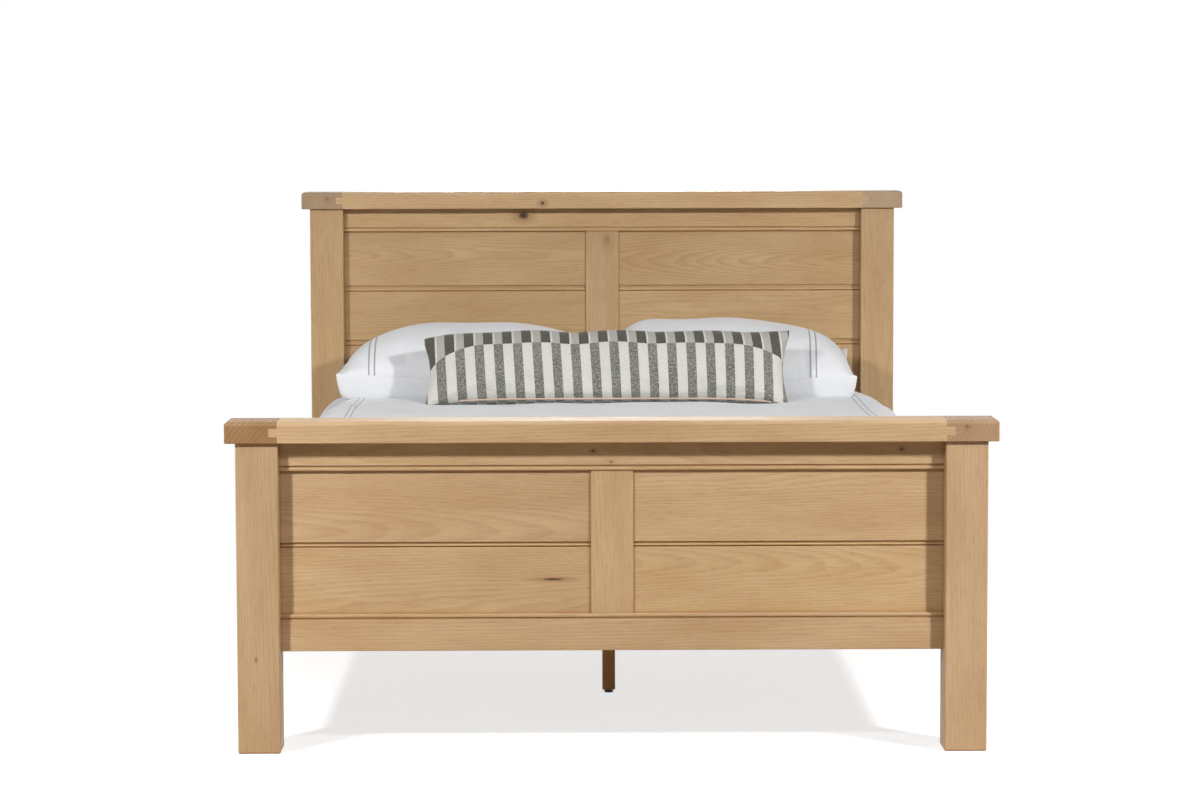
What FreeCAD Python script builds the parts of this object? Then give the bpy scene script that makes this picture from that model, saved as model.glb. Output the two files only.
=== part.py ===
import FreeCAD, Part
import math
import os

# Panel bed in solid oak for a 1500 x 2000 mattress, dressed with a duvet, two pillows and a
# lumbar cushion. Millimetres. X runs across the bed, Y from the foot (-) to the head (+),
# Z is up from the floor, and the origin lies on the floor under the middle of the bed.
# "Front" is the side that faces -Y, for the footboard and the headboard alike.

os.makedirs("parts", exist_ok=True)
Vector = FreeCAD.Vector

# ---------------------------------------------------------------- driving dimensions

# mattress and the bay that holds it
mattress_width = 1500.0
mattress_length = 2000.0
mattress_thickness = 260.0
mattress_corner_radius = 70.0
mattress_edge_roll = 38.0
mattress_side_gap = 16.0        # to each side rail
mattress_end_gap = 15.0         # to the posts at each end

# posts
post_side = 90.0
post_edge_radius = 3.0
post_foot_chamfer = 2.5
foot_post_height = 662.0
head_post_height = 1099.0
post_tenon_side = 40.0          # stub tenon on the post's top, inside the cap's end block
post_tenon_height = 22.0

# caps: one long board with a breadboard end block over each post
cap_thickness = 46.0
cap_side_overhang = 22.0
cap_face_overhang = 10.0
cap_top_radius = 9.0
cap_lower_radius = 2.0
cap_corner_radius = 4.0
cap_tongue_thickness = 17.0
cap_tongue_length = 18.0

# panels between the posts
rail_thickness = 34.0
top_rail_height = 62.0
foot_bottom_rail_height = 79.0
head_bottom_rail_height = 228.0
panel_clear_height = 215.0      # floor to the underside of both bottom rails
rail_tenon_length = 30.0
rail_tenon_shoulder = 12.0
rail_bead = 8.0
rail_quirk = 3.5
quirk_depth = 3.0
rail_edge_radius = 2.0
quirk_edge_radius = 0.8
bead_share = 0.9                # of the radius that would make a bead fully round
muntin_width = 90.0
muntin_thickness = 26.0
muntin_edge_chamfer = 1.5
muntin_tenon_shoulder = 15.0
plank_thickness = 16.0
plank_quirk = 2.0
plank_edge_radius = 1.0
plank_bead_setback = 1.0        # bead's face behind the plank's face
plank_tongue_thickness = 6.0
plank_tongue_height = 8.0
joint_recess_depth = 4.0        # depth of the shadow line under each upper plank
groove_depth = 10.0             # grooves in rails, posts and muntins that hold the planks
foot_plank_rows = 2
foot_joint_recess = 4.5
foot_plank_bead = 5.0
head_plank_rows = 4
head_joint_recess = 8.0
head_plank_bead = 6.5

# side rails, ledgers, centre rail and slats
side_rail_thickness = 24.0
side_rail_height = 140.0
side_rail_setback = 5.0         # rail's outer face behind the post's outer face
side_rail_edge_radius = 2.5
ledger_thickness = 28.0
ledger_height = 40.0
centre_rail_width = 44.0
centre_rail_height = 67.0
slat_count = 12
slat_width = 95.0
slat_thickness = 18.0
slat_edge_radius = 3.0
slat_row_inset = 66.0           # first slat's edge from the face of the posts, past the brackets
slat_end_gap = 6.0              # slat end to side rail
slat_drop = 50.0                # slat tops below the side rails' top edges

# centre legs and their levelling feet
centre_leg_side = 30.0
centre_leg_edge_radius = 1.5
centre_leg_clearance = 8.0      # floor to the leg's lower end
foot_pad_radius = 11.0
foot_pad_height = 6.0
foot_pad_rim = 1.5
foot_pad_taper = 1.0
foot_stud_length = 32.0

# hardware
thread_radius = 4.0
thread_clearance = 0.05
insert_radius = 6.0
insert_length = 18.0
bolt_length = 18.0
bolt_head_width = 13.0          # across the flats
bolt_head_height = 5.3
hanger_bolt_length = 70.0
bracket_thickness = 3.0
bracket_height = 90.0
bracket_post_leg = 44.0
bracket_rail_leg = 60.0
bracket_bolt_spacing = 50.0
hanger_thickness = 2.5
hanger_seat_length = 42.0
hanger_side_height = 40.0
hanger_back_height = 58.0
hanger_ear = 26.0
hole_clearance = 0.5
screw_radius = 2.25
screw_length = 45.0
screw_head_radius = 4.5
ledger_screw_count = 7
ledger_screw_inset = 120.0

# fits between wooden pieces
joint_gap = 0.15                # each side of a tongue or tenon
joint_end_gap = 1.0             # past the end of a tongue, tenon or plank
coincident = 1e-6               # points closer than this are one
cut_margin = 1.0                # how far a cutter runs past the faces it opens
touch_gap = 0.3                 # round soft pieces

# duvet
duvet_foot_inset = 6.0          # duvet's foot edge in from the mattress's end
duvet_head_inset = 44.0
duvet_loft = 55.0
duvet_side_thickness = 16.0
duvet_hem_clearance = 33.0      # above the side rails' top edges
duvet_hem_thickness = 13.0
duvet_round_inset = 95.0        # from the mattress's side to where the top starts to round over
duvet_shoulder_inset = 14.0     # from the mattress's side to the middle of the rounded shoulder
duvet_shoulder_loft = 0.19      # share of the loft that is left there
duvet_side_drop = 52.0          # where the rounded shoulder turns into the hanging side
duvet_side_flare = 14.0
duvet_edge_loft = 16.0          # along the foot edge
duvet_edge_run = 130.0
duvet_fold_depth = 7.0
duvet_fold_count = 9
duvet_section_count_per_fold = 6

# pillows
pillow_width = 680.0
pillow_depth = 480.0
pillow_height = 186.0
pillow_seam_height = 66.0
pillow_seam_thickness = 5.0
pillow_draw_in = 22.0           # front and rear seams, halfway along
pillow_underside_run = 110.0    # from each seam to the flat of the underside
pillow_centre_x = 353.0
pillow_head_gap = 34.0          # pillow's rear edge to the plane of the headboard posts
pillow_end_fullness = 2.6
pillow_crown_fullness = 0.52
pillow_section_count = 16

# lumbar cushion
cushion_width = 930.0
cushion_height = 197.0
cushion_thickness = 128.0
cushion_seam_thickness = 6.0
cushion_draw_in = 14.0          # side seams, halfway up
cushion_end_run = 90.0          # from each side seam to full thickness
cushion_edge_fullness = 2.2
cushion_crown_fullness = 0.55
cushion_lean = 12.0             # degrees back from upright
cushion_pillow_gap = 4.0
cushion_section_count = 18

least_crown = 0.03              # fullness left at the ends of pillows and cushion

# ---------------------------------------------------------------- derived positions

rail_inner_x = mattress_width / 2 + mattress_side_gap
rail_outer_x = rail_inner_x + side_rail_thickness
post_outer_x = rail_outer_x + side_rail_setback
post_inner_x = post_outer_x - post_side
post_middle_x = post_outer_x - post_side / 2
bay_end_y = mattress_length / 2 + mattress_end_gap
board_outer_y = bay_end_y + post_side
side_rail_top = panel_clear_height + side_rail_height
slat_top = side_rail_top - slat_drop
slat_underside = slat_top - slat_thickness
centre_rail_underside = slat_underside - centre_rail_height
mattress_underside = slat_top + touch_gap
mattress_top = mattress_underside + mattress_thickness
duvet_top = mattress_top + touch_gap + duvet_loft
duvet_foot_y = -mattress_length / 2 + duvet_foot_inset
duvet_length = mattress_length - duvet_foot_inset - duvet_head_inset
duvet_hem_z = side_rail_top + duvet_hem_clearance
bedding_floor = duvet_top + touch_gap
pillow_rear_y = bay_end_y - pillow_head_gap
pillow_front_y = pillow_rear_y - pillow_depth
rail_front = (post_side - rail_thickness) / 2
rail_back = rail_front + rail_thickness
plank_front = (post_side - plank_thickness) / 2
plank_back = plank_front + plank_thickness
bolt_hole_radius = thread_radius + hole_clearance

foot_board = {
    "name": "foot",
    "front_y": -board_outer_y,
    "post_height": foot_post_height,
    "bottom_rail_height": foot_bottom_rail_height,
    "rows": foot_plank_rows,
    "recess": foot_joint_recess,
    "bead": foot_plank_bead,
}
head_board = {
    "name": "head",
    "front_y": bay_end_y,
    "post_height": head_post_height,
    "bottom_rail_height": head_bottom_rail_height,
    "rows": head_plank_rows,
    "recess": head_joint_recess,
    "bead": head_plank_bead,
}


def panel_low(board):
    return panel_clear_height + board["bottom_rail_height"]


def panel_high(board):
    return board["post_height"] - top_rail_height


# ---------------------------------------------------------------- shape helpers

def on_yz(x):
    return lambda y, z: Vector(x, y, z)


def on_xz(y):
    return lambda x, z: Vector(x, y, z)


def on_xy(z):
    return lambda x, y: Vector(x, y, z)


def outline(corners, place):
    """Closed wire through corners (a, b) or (a, b, radius), rounded where a radius is given."""
    points = [place(*corner[:2]) for corner in corners]
    radii = [corner[2] if len(corner) > 2 else 0 for corner in corners]
    edges = []
    ends = []
    for index, (point, radius) in enumerate(zip(points, radii)):
        if radius <= 0:
            ends.append((point, None, point))
            continue
        back = (points[index - 1] - point).normalize()
        ahead = (points[(index + 1) % len(points)] - point).normalize()
        half_angle = back.getAngle(ahead) / 2
        run = radius / math.tan(half_angle)
        middle = (back + ahead).normalize() * (radius / math.sin(half_angle) - radius)
        ends.append((point + back * run, point + middle, point + ahead * run))
    for index, (start, through, end) in enumerate(ends):
        if through is not None:
            edges.append(arc(start, through, end))
        following = ends[(index + 1) % len(ends)][0]
        if end.distanceToPoint(following) > coincident:
            edges.append(line(end, following))
    return Part.Wire(edges)


def extrude(corners, plane, start, end):
    """Solid with the given outline on plane(start), carried straight to plane(end)."""
    face = Part.Face(outline(corners, plane(start)))
    return face.extrude(plane(end)(0, 0) - plane(start)(0, 0))


def line(start, end):
    return Part.LineSegment(start, end).toShape()


def arc(start, through, end):
    return Part.Arc(start, through, end).toShape()


def rectangle(a_range, b_range, low=0, high=0):
    """Corners of a rectangle, rounded by low along its lower edge and by high along its upper."""
    (a0, a1), (b0, b1) = a_range, b_range
    return [(a0, b0, low), (a1, b0, low), (a1, b1, high), (a0, b1, high)]


def block(x_range, y_range, z_range):
    sizes = [high - low for low, high in (x_range, y_range, z_range)]
    return Part.makeBox(*sizes, Vector(x_range[0], y_range[0], z_range[0]))


def rod(radius, start, end):
    axis = end - start
    return Part.makeCylinder(radius, axis.Length, start, axis)


def mirrored(shape):
    return shape.mirror(Vector(0, 0, 0), Vector(1, 0, 0))


def widened(span, extra):
    return (span[0] - extra, span[1] + extra)


nodes = {}


def keep(name, *solids):
    nodes[name] = solids[0] if len(solids) == 1 else Part.makeCompound(list(solids))


def keep_pair(name, left):
    """Keep a piece of the bed's left side and its mirror image on the right."""
    keep(name + "_left", left)
    keep(name + "_right", mirrored(left))


# ---------------------------------------------------------------- hardware shapes

def hex_bolt(seat, inward):
    """Bolt whose head sits on the point seat, its shank running along inward."""
    shank = rod(thread_radius - thread_clearance, seat, seat + inward * bolt_length)
    across_corners = bolt_head_width / math.cos(math.pi / 6)
    side = inward.cross(Vector(0, 0, 1)).normalize()
    up = inward.cross(side)
    ring = []
    for corner in range(6):
        angle = math.radians(60 * corner)
        ring.append(seat + (side * math.cos(angle) + up * math.sin(angle)) * (across_corners / 2))
    head = Part.Face(Part.makePolygon(ring + ring[:1])).extrude(inward * -bolt_head_height)
    return shank.fuse(head).removeSplitter()


def threaded_insert(mouth, inward):
    sleeve = rod(insert_radius, mouth, mouth + inward * insert_length)
    return sleeve.cut(rod(thread_radius, mouth, mouth + inward * insert_length))


def insert_hole(mouth, inward):
    return rod(insert_radius + thread_clearance, mouth, mouth + inward * (insert_length + joint_end_gap))


def through_hole(mouth, normal, thickness):
    """Clearance hole through a plate that lies against the point mouth."""
    return rod(bolt_hole_radius, mouth - normal * cut_margin, mouth + normal * (thickness + cut_margin))


def screw_form(top, gap, length):
    """Countersunk screw driven down from the point top, or with a gap the hole it leaves."""
    down = Vector(0, 0, -1)
    head_depth = screw_head_radius - screw_radius
    head = Part.makeCone(screw_head_radius + gap, screw_radius + gap, head_depth, top, down)
    return head.fuse(rod(screw_radius + gap, top + down * head_depth, top + down * length))


def wood_screw(top):
    return screw_form(top, 0, screw_length)


def screw_hole(top):
    return screw_form(top, thread_clearance, screw_length + joint_end_gap)


bolts = []
inserts = []
screws = []


# ---------------------------------------------------------------- footboard and headboard

def board_depth(board, low, high):
    """Range of Y that lies low to high behind the front faces of a board's posts."""
    return (board["front_y"] + low, board["front_y"] + high)


def rail_profile(board, z_range, bead_on_top):
    """YZ outline of a panel rail, with a bead and quirk worked on the edge beside the planks."""
    front, back = board_depth(board, rail_front, rail_back)
    low, high = z_range
    edge, far, way = (high, low, -1) if bead_on_top else (low, high, 1)
    far_radius = rail_edge_radius if bead_on_top else 0
    bead_end = edge + way * rail_bead
    quirk_end = bead_end + way * rail_quirk
    bead_radius = bead_share * min(quirk_depth, rail_bead / 2)
    recess = front + quirk_depth
    return [
        (front, edge, bead_radius),
        (front, bead_end, bead_radius),
        (recess, bead_end),
        (recess, quirk_end),
        (front, quirk_end, quirk_edge_radius),
        (front, far, far_radius),
        (back, far, far_radius),
        (back, edge),
    ]


def panel_rail(board, z_range, bead_on_top):
    """Rail between the posts, with a tenon at each end and a groove for planks and muntin."""
    shoulder = rail_profile(board, z_range, bead_on_top)
    rail = extrude(shoulder, on_yz, -post_inner_x, post_inner_x)
    tenon_depth = board_depth(board, plank_front, plank_back)
    tenon_z = widened(z_range, -rail_tenon_shoulder)
    reach = post_inner_x + rail_tenon_length
    rail = rail.fuse(block((-reach, reach), tenon_depth, tenon_z))
    edge = z_range[1] if bead_on_top else z_range[0]
    groove_z = (edge - groove_depth, edge) if bead_on_top else (edge, edge + groove_depth)
    groove = block((-post_inner_x, post_inner_x), widened(tenon_depth, joint_gap), groove_z)
    return rail.cut(groove)


def post(board):
    """Left post, mortised for both rails and grooved for the planks' ends."""
    x_range = (-post_outer_x, -post_inner_x)
    y_range = board_depth(board, 0, post_side)
    plan = rectangle(x_range, y_range, post_edge_radius, post_edge_radius)
    top = board["post_height"]
    solid = extrude(plan, on_xy, 0, top)
    foot_edges = [edge for edge in solid.Edges if edge.BoundBox.ZMax < coincident]
    solid = solid.makeChamfer(post_foot_chamfer, foot_edges)
    centre_y = board["front_y"] + post_side / 2
    half = post_tenon_side / 2
    solid = solid.fuse(block(widened((-post_middle_x, -post_middle_x), half),
                             widened((centre_y, centre_y), half),
                             (top, top + post_tenon_height)))
    slot_y = widened(board_depth(board, plank_front, plank_back), joint_gap)
    mortise_x = (-post_inner_x - rail_tenon_length - joint_end_gap, -post_inner_x)
    groove_x = (-post_inner_x - groove_depth, -post_inner_x)
    for z_range in ((panel_clear_height, panel_low(board)), (panel_high(board), top)):
        mortise_z = widened(z_range, -rail_tenon_shoulder + joint_gap)
        solid = solid.cut(block(mortise_x, slot_y, mortise_z))
    groove_z = (panel_low(board) - rail_tenon_shoulder, panel_high(board) + rail_tenon_shoulder)
    return solid.cut(block(groove_x, slot_y, groove_z))


def muntin(board):
    """Upright between the planks, stub-tenoned into both rails and grooved on both edges."""
    front, back = board_depth(board, (post_side - muntin_thickness) / 2,
                              (post_side + muntin_thickness) / 2)
    half = muntin_width / 2
    low, high = panel_low(board), panel_high(board)
    chamfer = muntin_edge_chamfer
    plan = [(-half + chamfer, front), (half - chamfer, front), (half, front + chamfer),
            (half, back), (-half, back), (-half, front + chamfer)]
    solid = extrude(plan, on_xy, low, high)
    slot_y = widened(board_depth(board, plank_front, plank_back), joint_gap)
    for side in (-1, 1):
        groove_x = sorted((side * half, side * (half - groove_depth)))
        solid = solid.cut(block(groove_x, slot_y, (low, high)))
    tenon_x = widened((0, 0), half - muntin_tenon_shoulder)
    tenon_z = (low - groove_depth + joint_end_gap, high + groove_depth - joint_end_gap)
    return solid.fuse(block(tenon_x, board_depth(board, plank_front, plank_back), tenon_z))


def plank(board, row):
    """Left plank of one row, counted from the top, tongued above and grooved below."""
    low, high = panel_low(board), panel_high(board)
    pitch = (high - low) / board["rows"]
    top = high - row * pitch
    bottom = top - pitch
    front, back = board_depth(board, plank_front, plank_back)
    middle = (front + back) / 2
    recess = front + joint_recess_depth
    bead_top = top - board["recess"]
    bead_low = bead_top - board["bead"]
    bead_face = front + plank_bead_setback
    bead_radius = bead_share * min(recess - bead_face, board["bead"] / 2)
    half_tongue = plank_tongue_thickness / 2
    housed = groove_depth - joint_end_gap
    if row == 0:
        upper = [(back, top + housed), (front, top + housed)]
    else:
        upper = [
            (back, top),
            (middle + half_tongue, top),
            (middle + half_tongue, top + plank_tongue_height),
            (middle - half_tongue, top + plank_tongue_height),
            (middle - half_tongue, top),
            (recess, top),
            (recess, bead_top),
            (bead_face, bead_top, bead_radius),
            (bead_face, bead_low, bead_radius),
            (recess, bead_low),
            (recess, bead_low - plank_quirk),
            (front, bead_low - plank_quirk, plank_edge_radius),
        ]
    if row == board["rows"] - 1:
        lower = [(front, bottom - housed), (back, bottom - housed)]
    else:
        slot = half_tongue + joint_gap
        slot_top = bottom + plank_tongue_height + joint_end_gap
        lower = [
            (front, bottom, plank_edge_radius),
            (middle - slot, bottom),
            (middle - slot, slot_top),
            (middle + slot, slot_top),
            (middle + slot, bottom),
            (back, bottom),
        ]
    return extrude(upper + lower, on_yz, -post_inner_x - housed, -muntin_width / 2 + housed)


def cap_shape(board, half_length):
    """Rounded bar over a pair of posts, as three crossing outlines share it."""
    front, back = board_depth(board, -cap_face_overhang, post_side + cap_face_overhang)
    z_range = (board["post_height"], board["post_height"] + cap_thickness)
    x_range = (-half_length, half_length)
    across = rectangle((front, back), z_range, cap_lower_radius, cap_top_radius)
    along = rectangle(x_range, z_range, cap_lower_radius, cap_top_radius)
    plan = rectangle(x_range, (front, back), cap_corner_radius, cap_corner_radius)
    bar = extrude(across, on_yz, *x_range)
    bar = bar.common(extrude(along, on_xz, front, back))
    return bar.common(extrude(plan, on_xy, *z_range))


def cap(board):
    """Cap board with its two end blocks, joined by a tongue that shows on the faces."""
    bar = cap_shape(board, post_outer_x + cap_side_overhang)
    low, high = board["post_height"], board["post_height"] + cap_thickness
    middle = (low + high) / 2
    beyond = post_outer_x + cap_side_overhang + cut_margin
    overhang = cap_face_overhang + cut_margin
    wide_y = board_depth(board, -overhang, post_side + overhang)
    wide_z = widened((low, high), cut_margin)
    tongue_z = widened((middle, middle), cap_tongue_thickness / 2)
    reach = post_inner_x + cap_tongue_length
    within = block((-post_inner_x, post_inner_x), wide_y, wide_z)
    within = within.fuse(block((-reach, reach), wide_y, tongue_z))
    board_solid = bar.common(within).removeSplitter()
    end = bar.common(block((-beyond, -post_inner_x), wide_y, wide_z))
    slot = block((-reach - joint_gap, -post_inner_x), wide_y, widened(tongue_z, joint_gap))
    end = end.cut(slot)
    half = post_tenon_side / 2 + joint_gap
    centre_y = board["front_y"] + post_side / 2
    mortise = block(widened((-post_middle_x, -post_middle_x), half), widened((centre_y, centre_y), half),
                    (low, low + post_tenon_height + joint_end_gap))
    keep(board["name"] + "_cap_board", board_solid)
    keep_pair(board["name"] + "_cap_end", end.cut(mortise))


def bracket_bolt_heights():
    middle = panel_clear_height + side_rail_height / 2
    return [middle - bracket_bolt_spacing / 2, middle + bracket_bolt_spacing / 2]


def end_board(board):
    name = board["name"]
    inward = 1 if name == "foot" else -1
    bay_face = board["front_y"] + (post_side if name == "foot" else 0)
    left_post = post(board)
    for height in bracket_bolt_heights():
        mouth = Vector(-rail_inner_x + bracket_post_leg / 2, bay_face, height)
        left_post = left_post.cut(insert_hole(mouth, Vector(0, -inward, 0)))
    keep_pair(name + "_post", left_post)
    keep(name + "_top_rail", panel_rail(board, (panel_high(board), board["post_height"]), False))
    bottom_rail = panel_rail(board, (panel_clear_height, panel_low(board)), True)
    for mouth in hanger_bolt_points(board):
        bottom_rail = bottom_rail.cut(insert_hole(mouth, Vector(0, -inward, 0)))
    keep(name + "_bottom_rail", bottom_rail)
    keep(name + "_muntin", muntin(board))
    for row in range(board["rows"]):
        keep_pair(f"{name}_plank_{row + 1}", plank(board, row))
    cap(board)


# ---------------------------------------------------------------- centre rail hangers

def hanger_face(board):
    """Y of the bottom rail's face towards the mattress, and the way it looks."""
    if board["name"] == "foot":
        return board["front_y"] + rail_back, 1
    return board["front_y"] + rail_front, -1


def hanger_bolt_points(board):
    face, _ = hanger_face(board)
    x = centre_rail_width / 2 + joint_gap + hanger_thickness + hanger_ear / 2
    z = centre_rail_underside + hanger_back_height / 2
    return [Vector(side * x, face, z) for side in (-1, 1)]


def hanger(board):
    """Steel shoe bolted to the bottom rail, in which the centre rail's end sits."""
    face, way = hanger_face(board)
    inside = centre_rail_width / 2 + joint_gap
    outside = inside + hanger_thickness
    wide = outside + hanger_ear
    floor_z = (centre_rail_underside - hanger_thickness, centre_rail_underside)
    back_y = sorted((face, face + way * hanger_thickness))
    seat_y = sorted((face, face + way * (hanger_thickness + hanger_seat_length)))
    shoe = block((-wide, wide), back_y, (floor_z[0], floor_z[0] + hanger_back_height))
    shoe = shoe.fuse(block((-outside, outside), seat_y, floor_z))
    for x_range in ((-outside, -inside), (inside, outside)):
        shoe = shoe.fuse(block(x_range, seat_y, (floor_z[0], floor_z[0] + hanger_side_height)))
    normal = Vector(0, way, 0)
    for mouth in hanger_bolt_points(board):
        shoe = shoe.cut(through_hole(mouth, normal, hanger_thickness))
        bolts.append(hex_bolt(mouth + normal * hanger_thickness, normal * -1))
        inserts.append(threaded_insert(mouth, normal * -1))
    return shoe.removeSplitter()


# ---------------------------------------------------------------- side rails and brackets

def bracket(board):
    """Left steel angle that bolts a side rail to a post, with its four bolts and inserts."""
    bay_face = -bay_end_y if board["name"] == "foot" else bay_end_y
    way = 1 if board["name"] == "foot" else -1
    middle = panel_clear_height + side_rail_height / 2
    z_range = widened((middle, middle), bracket_height / 2)
    post_leg_y = sorted((bay_face, bay_face + way * bracket_thickness))
    rail_leg_y = sorted((bay_face, bay_face + way * bracket_rail_leg))
    angle = block((-rail_inner_x, -rail_inner_x + bracket_post_leg), post_leg_y, z_range)
    angle = angle.fuse(block((-rail_inner_x, -rail_inner_x + bracket_thickness), rail_leg_y, z_range))
    along, out = Vector(0, way, 0), Vector(1, 0, 0)
    for height in bracket_bolt_heights():
        on_post = Vector(-rail_inner_x + bracket_post_leg / 2, bay_face, height)
        on_rail = Vector(-rail_inner_x, bay_face + way * bracket_rail_leg / 2, height)
        for mouth, normal in ((on_post, along), (on_rail, out)):
            angle = angle.cut(through_hole(mouth, normal, bracket_thickness))
            for mirror in (False, True):
                bolt = hex_bolt(mouth + normal * bracket_thickness, normal * -1)
                insert = threaded_insert(mouth, normal * -1)
                bolts.append(mirrored(bolt) if mirror else bolt)
                inserts.append(mirrored(insert) if mirror else insert)
    return angle.removeSplitter()


def side_rails():
    x_range = (-rail_outer_x, -rail_inner_x)
    section = rectangle(x_range, (panel_clear_height, side_rail_top),
                        side_rail_edge_radius, side_rail_edge_radius)
    rail = extrude(section, on_xz, -bay_end_y, bay_end_y)
    for end in (-1, 1):
        for height in bracket_bolt_heights():
            mouth = Vector(-rail_inner_x, end * (bay_end_y - bracket_rail_leg / 2), height)
            rail = rail.cut(insert_hole(mouth, Vector(-1, 0, 0)))
    ledger_end = bay_end_y - bracket_rail_leg - joint_end_gap
    ledger_z = (slat_underside - ledger_height, slat_underside)
    ledger = block((-rail_inner_x, -rail_inner_x + ledger_thickness), (-ledger_end, ledger_end), ledger_z)
    for y in spread(ledger_screw_count, ledger_end - ledger_screw_inset):
        top = Vector(-rail_inner_x + ledger_thickness, y, sum(ledger_z) / 2)
        screw, hole = laid_outward(wood_screw(top), top), laid_outward(screw_hole(top), top)
        rail = rail.cut(hole)
        ledger = ledger.cut(hole)
        screws.extend((screw, mirrored(screw)))
    for y in slat_centres():
        ledger = ledger.cut(screw_hole(slat_screw_top(-1, y)))
    keep_pair("side_rail", rail)
    keep_pair("slat_ledger", ledger)


def laid_outward(shape, head):
    """Turn a screw that points down so that it points outwards, to the bed's left."""
    return shape.rotated(head, Vector(0, 1, 0), 90)


def spread(count, half_span):
    return [-half_span + 2 * half_span * step / (count - 1) for step in range(count)]


# ---------------------------------------------------------------- slats, centre rail and legs

def slat_centres():
    return spread(slat_count, bay_end_y - slat_row_inset - slat_width / 2)


def slat_screw_top(side, y):
    return Vector(side * (rail_inner_x - (ledger_thickness + slat_end_gap) / 2), y, slat_top)


def slats():
    half_length = rail_inner_x - slat_end_gap
    for number, y in enumerate(slat_centres(), start=1):
        section = rectangle(widened((y, y), slat_width / 2), (slat_underside, slat_top),
                            slat_edge_radius, slat_edge_radius)
        slat = extrude(section, on_yz, -half_length, half_length)
        for side in (-1, 0, 1):
            top = slat_screw_top(side, y)
            slat = slat.cut(screw_hole(top))
            screws.append(wood_screw(top))
        keep(f"slat_{number:02d}", slat)


def centre_leg_places():
    third = (2 * bay_end_y) / 3
    return [-bay_end_y + third, -bay_end_y + 2 * third]


def centre_rail():
    foot_face, _ = hanger_face(foot_board)
    head_face, _ = hanger_face(head_board)
    y_range = (foot_face + hanger_thickness, head_face - hanger_thickness)
    half = centre_rail_width / 2
    rail = block((-half, half), y_range, (centre_rail_underside, slat_underside))
    for y in slat_centres():
        rail = rail.cut(screw_hole(slat_screw_top(0, y)))
    up = Vector(0, 0, 1)
    for y in centre_leg_places():
        mouth = Vector(0, y, centre_rail_underside)
        rail = rail.cut(insert_hole(mouth, up))
        inserts.append(threaded_insert(mouth, up))
    keep("centre_rail", rail)


def centre_legs():
    """Square legs under the centre rail, each on a levelling foot that screws in and out."""
    up = Vector(0, 0, 1)
    half = centre_leg_side / 2
    hanger_bolts = []
    for number, y in enumerate(centre_leg_places(), start=1):
        radius = centre_leg_edge_radius
        plan = rectangle((-half, half), widened((y, y), half), radius, radius)
        leg = extrude(plan, on_xy, centre_leg_clearance, centre_rail_underside)
        top = Vector(0, y, centre_rail_underside)
        bottom = Vector(0, y, centre_leg_clearance)
        below = hanger_bolt_length - insert_length
        stud_radius = thread_radius - thread_clearance
        hanger_bolts.append(rod(stud_radius, top - up * below, top + up * insert_length))
        leg = leg.cut(rod(thread_radius, top - up * (below + joint_end_gap), top))
        leg = leg.cut(insert_hole(bottom, up))
        leg = leg.cut(rod(bolt_hole_radius, bottom, bottom + up * (foot_stud_length + joint_end_gap)))
        inserts.append(threaded_insert(bottom, up))
        keep(f"centre_leg_{number}", leg)
        pad_outline = [(0, 0), (foot_pad_radius - foot_pad_rim, 0), (foot_pad_radius, foot_pad_rim),
                       (foot_pad_radius - foot_pad_taper, foot_pad_height), (0, foot_pad_height)]
        pad = Part.Face(outline(pad_outline, on_xz(0))).revolve(Vector(0, 0, 0), up, 360)
        pad.translate(Vector(0, y, 0))
        stud = rod(stud_radius, Vector(0, y, foot_pad_height / 2), Vector(0, y, foot_stud_length))
        keep(f"levelling_foot_{number}", pad.fuse(stud).removeSplitter())
    keep("leg_hanger_bolts", *hanger_bolts)


# ---------------------------------------------------------------- mattress and duvet

def mattress():
    """Upright-sided mattress with rolled edges above and below."""
    half_x, half_y = mattress_width / 2, mattress_length / 2
    low, high = mattress_underside, mattress_top
    roll = mattress_edge_roll
    across = rectangle((-half_x, half_x), (low, high), roll, roll)
    along = rectangle((-half_y, half_y), (low, high), roll, roll)
    plan = rectangle((-half_x, half_x), (-half_y, half_y), mattress_corner_radius, mattress_corner_radius)
    body = extrude(across, on_xz, -half_y, half_y)
    body = body.common(extrude(along, on_yz, -half_x, half_x))
    keep("mattress", body.common(extrude(plan, on_xy, low, high)))


def duvet_section(y, loft, fold):
    """Section across the duvet: a lofted top, rounded shoulders and sides that hang to the hem."""
    base = mattress_top + touch_gap
    inner_x = mattress_width / 2 + touch_gap
    outer_x = inner_x + duvet_side_thickness
    hem_x = outer_x + duvet_side_flare + fold
    turn_x = inner_x - mattress_edge_roll
    turn_z = base - mattress_edge_roll
    diagonal = mattress_edge_roll * math.sqrt(0.5)
    side = [
        (mattress_width / 2 - duvet_round_inset, base + loft),
        (mattress_width / 2 - duvet_shoulder_inset, base + loft * duvet_shoulder_loft),
        (outer_x, base - duvet_side_drop),
        (hem_x, duvet_hem_z),
        (hem_x - duvet_hem_thickness, duvet_hem_z),
        (inner_x, turn_z),
        (turn_x + diagonal, turn_z + diagonal),
        (turn_x, base),
    ]
    left = [Vector(-x, y, z) for x, z in side]
    right = [Vector(x, y, z) for x, z in side]
    edges = [line(left[0], right[0])]
    edges += [arc(*right[0:3]), line(*right[2:4]), line(*right[3:5]), line(*right[4:6]), arc(*right[5:8])]
    edges += [line(right[7], left[7])]
    edges += [arc(*left[7:4:-1]), line(*left[5:3:-1]), line(*left[4:2:-1]), line(*left[3:1:-1])]
    edges += [arc(*left[2::-1])]
    return Part.Wire(edges)


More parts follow.
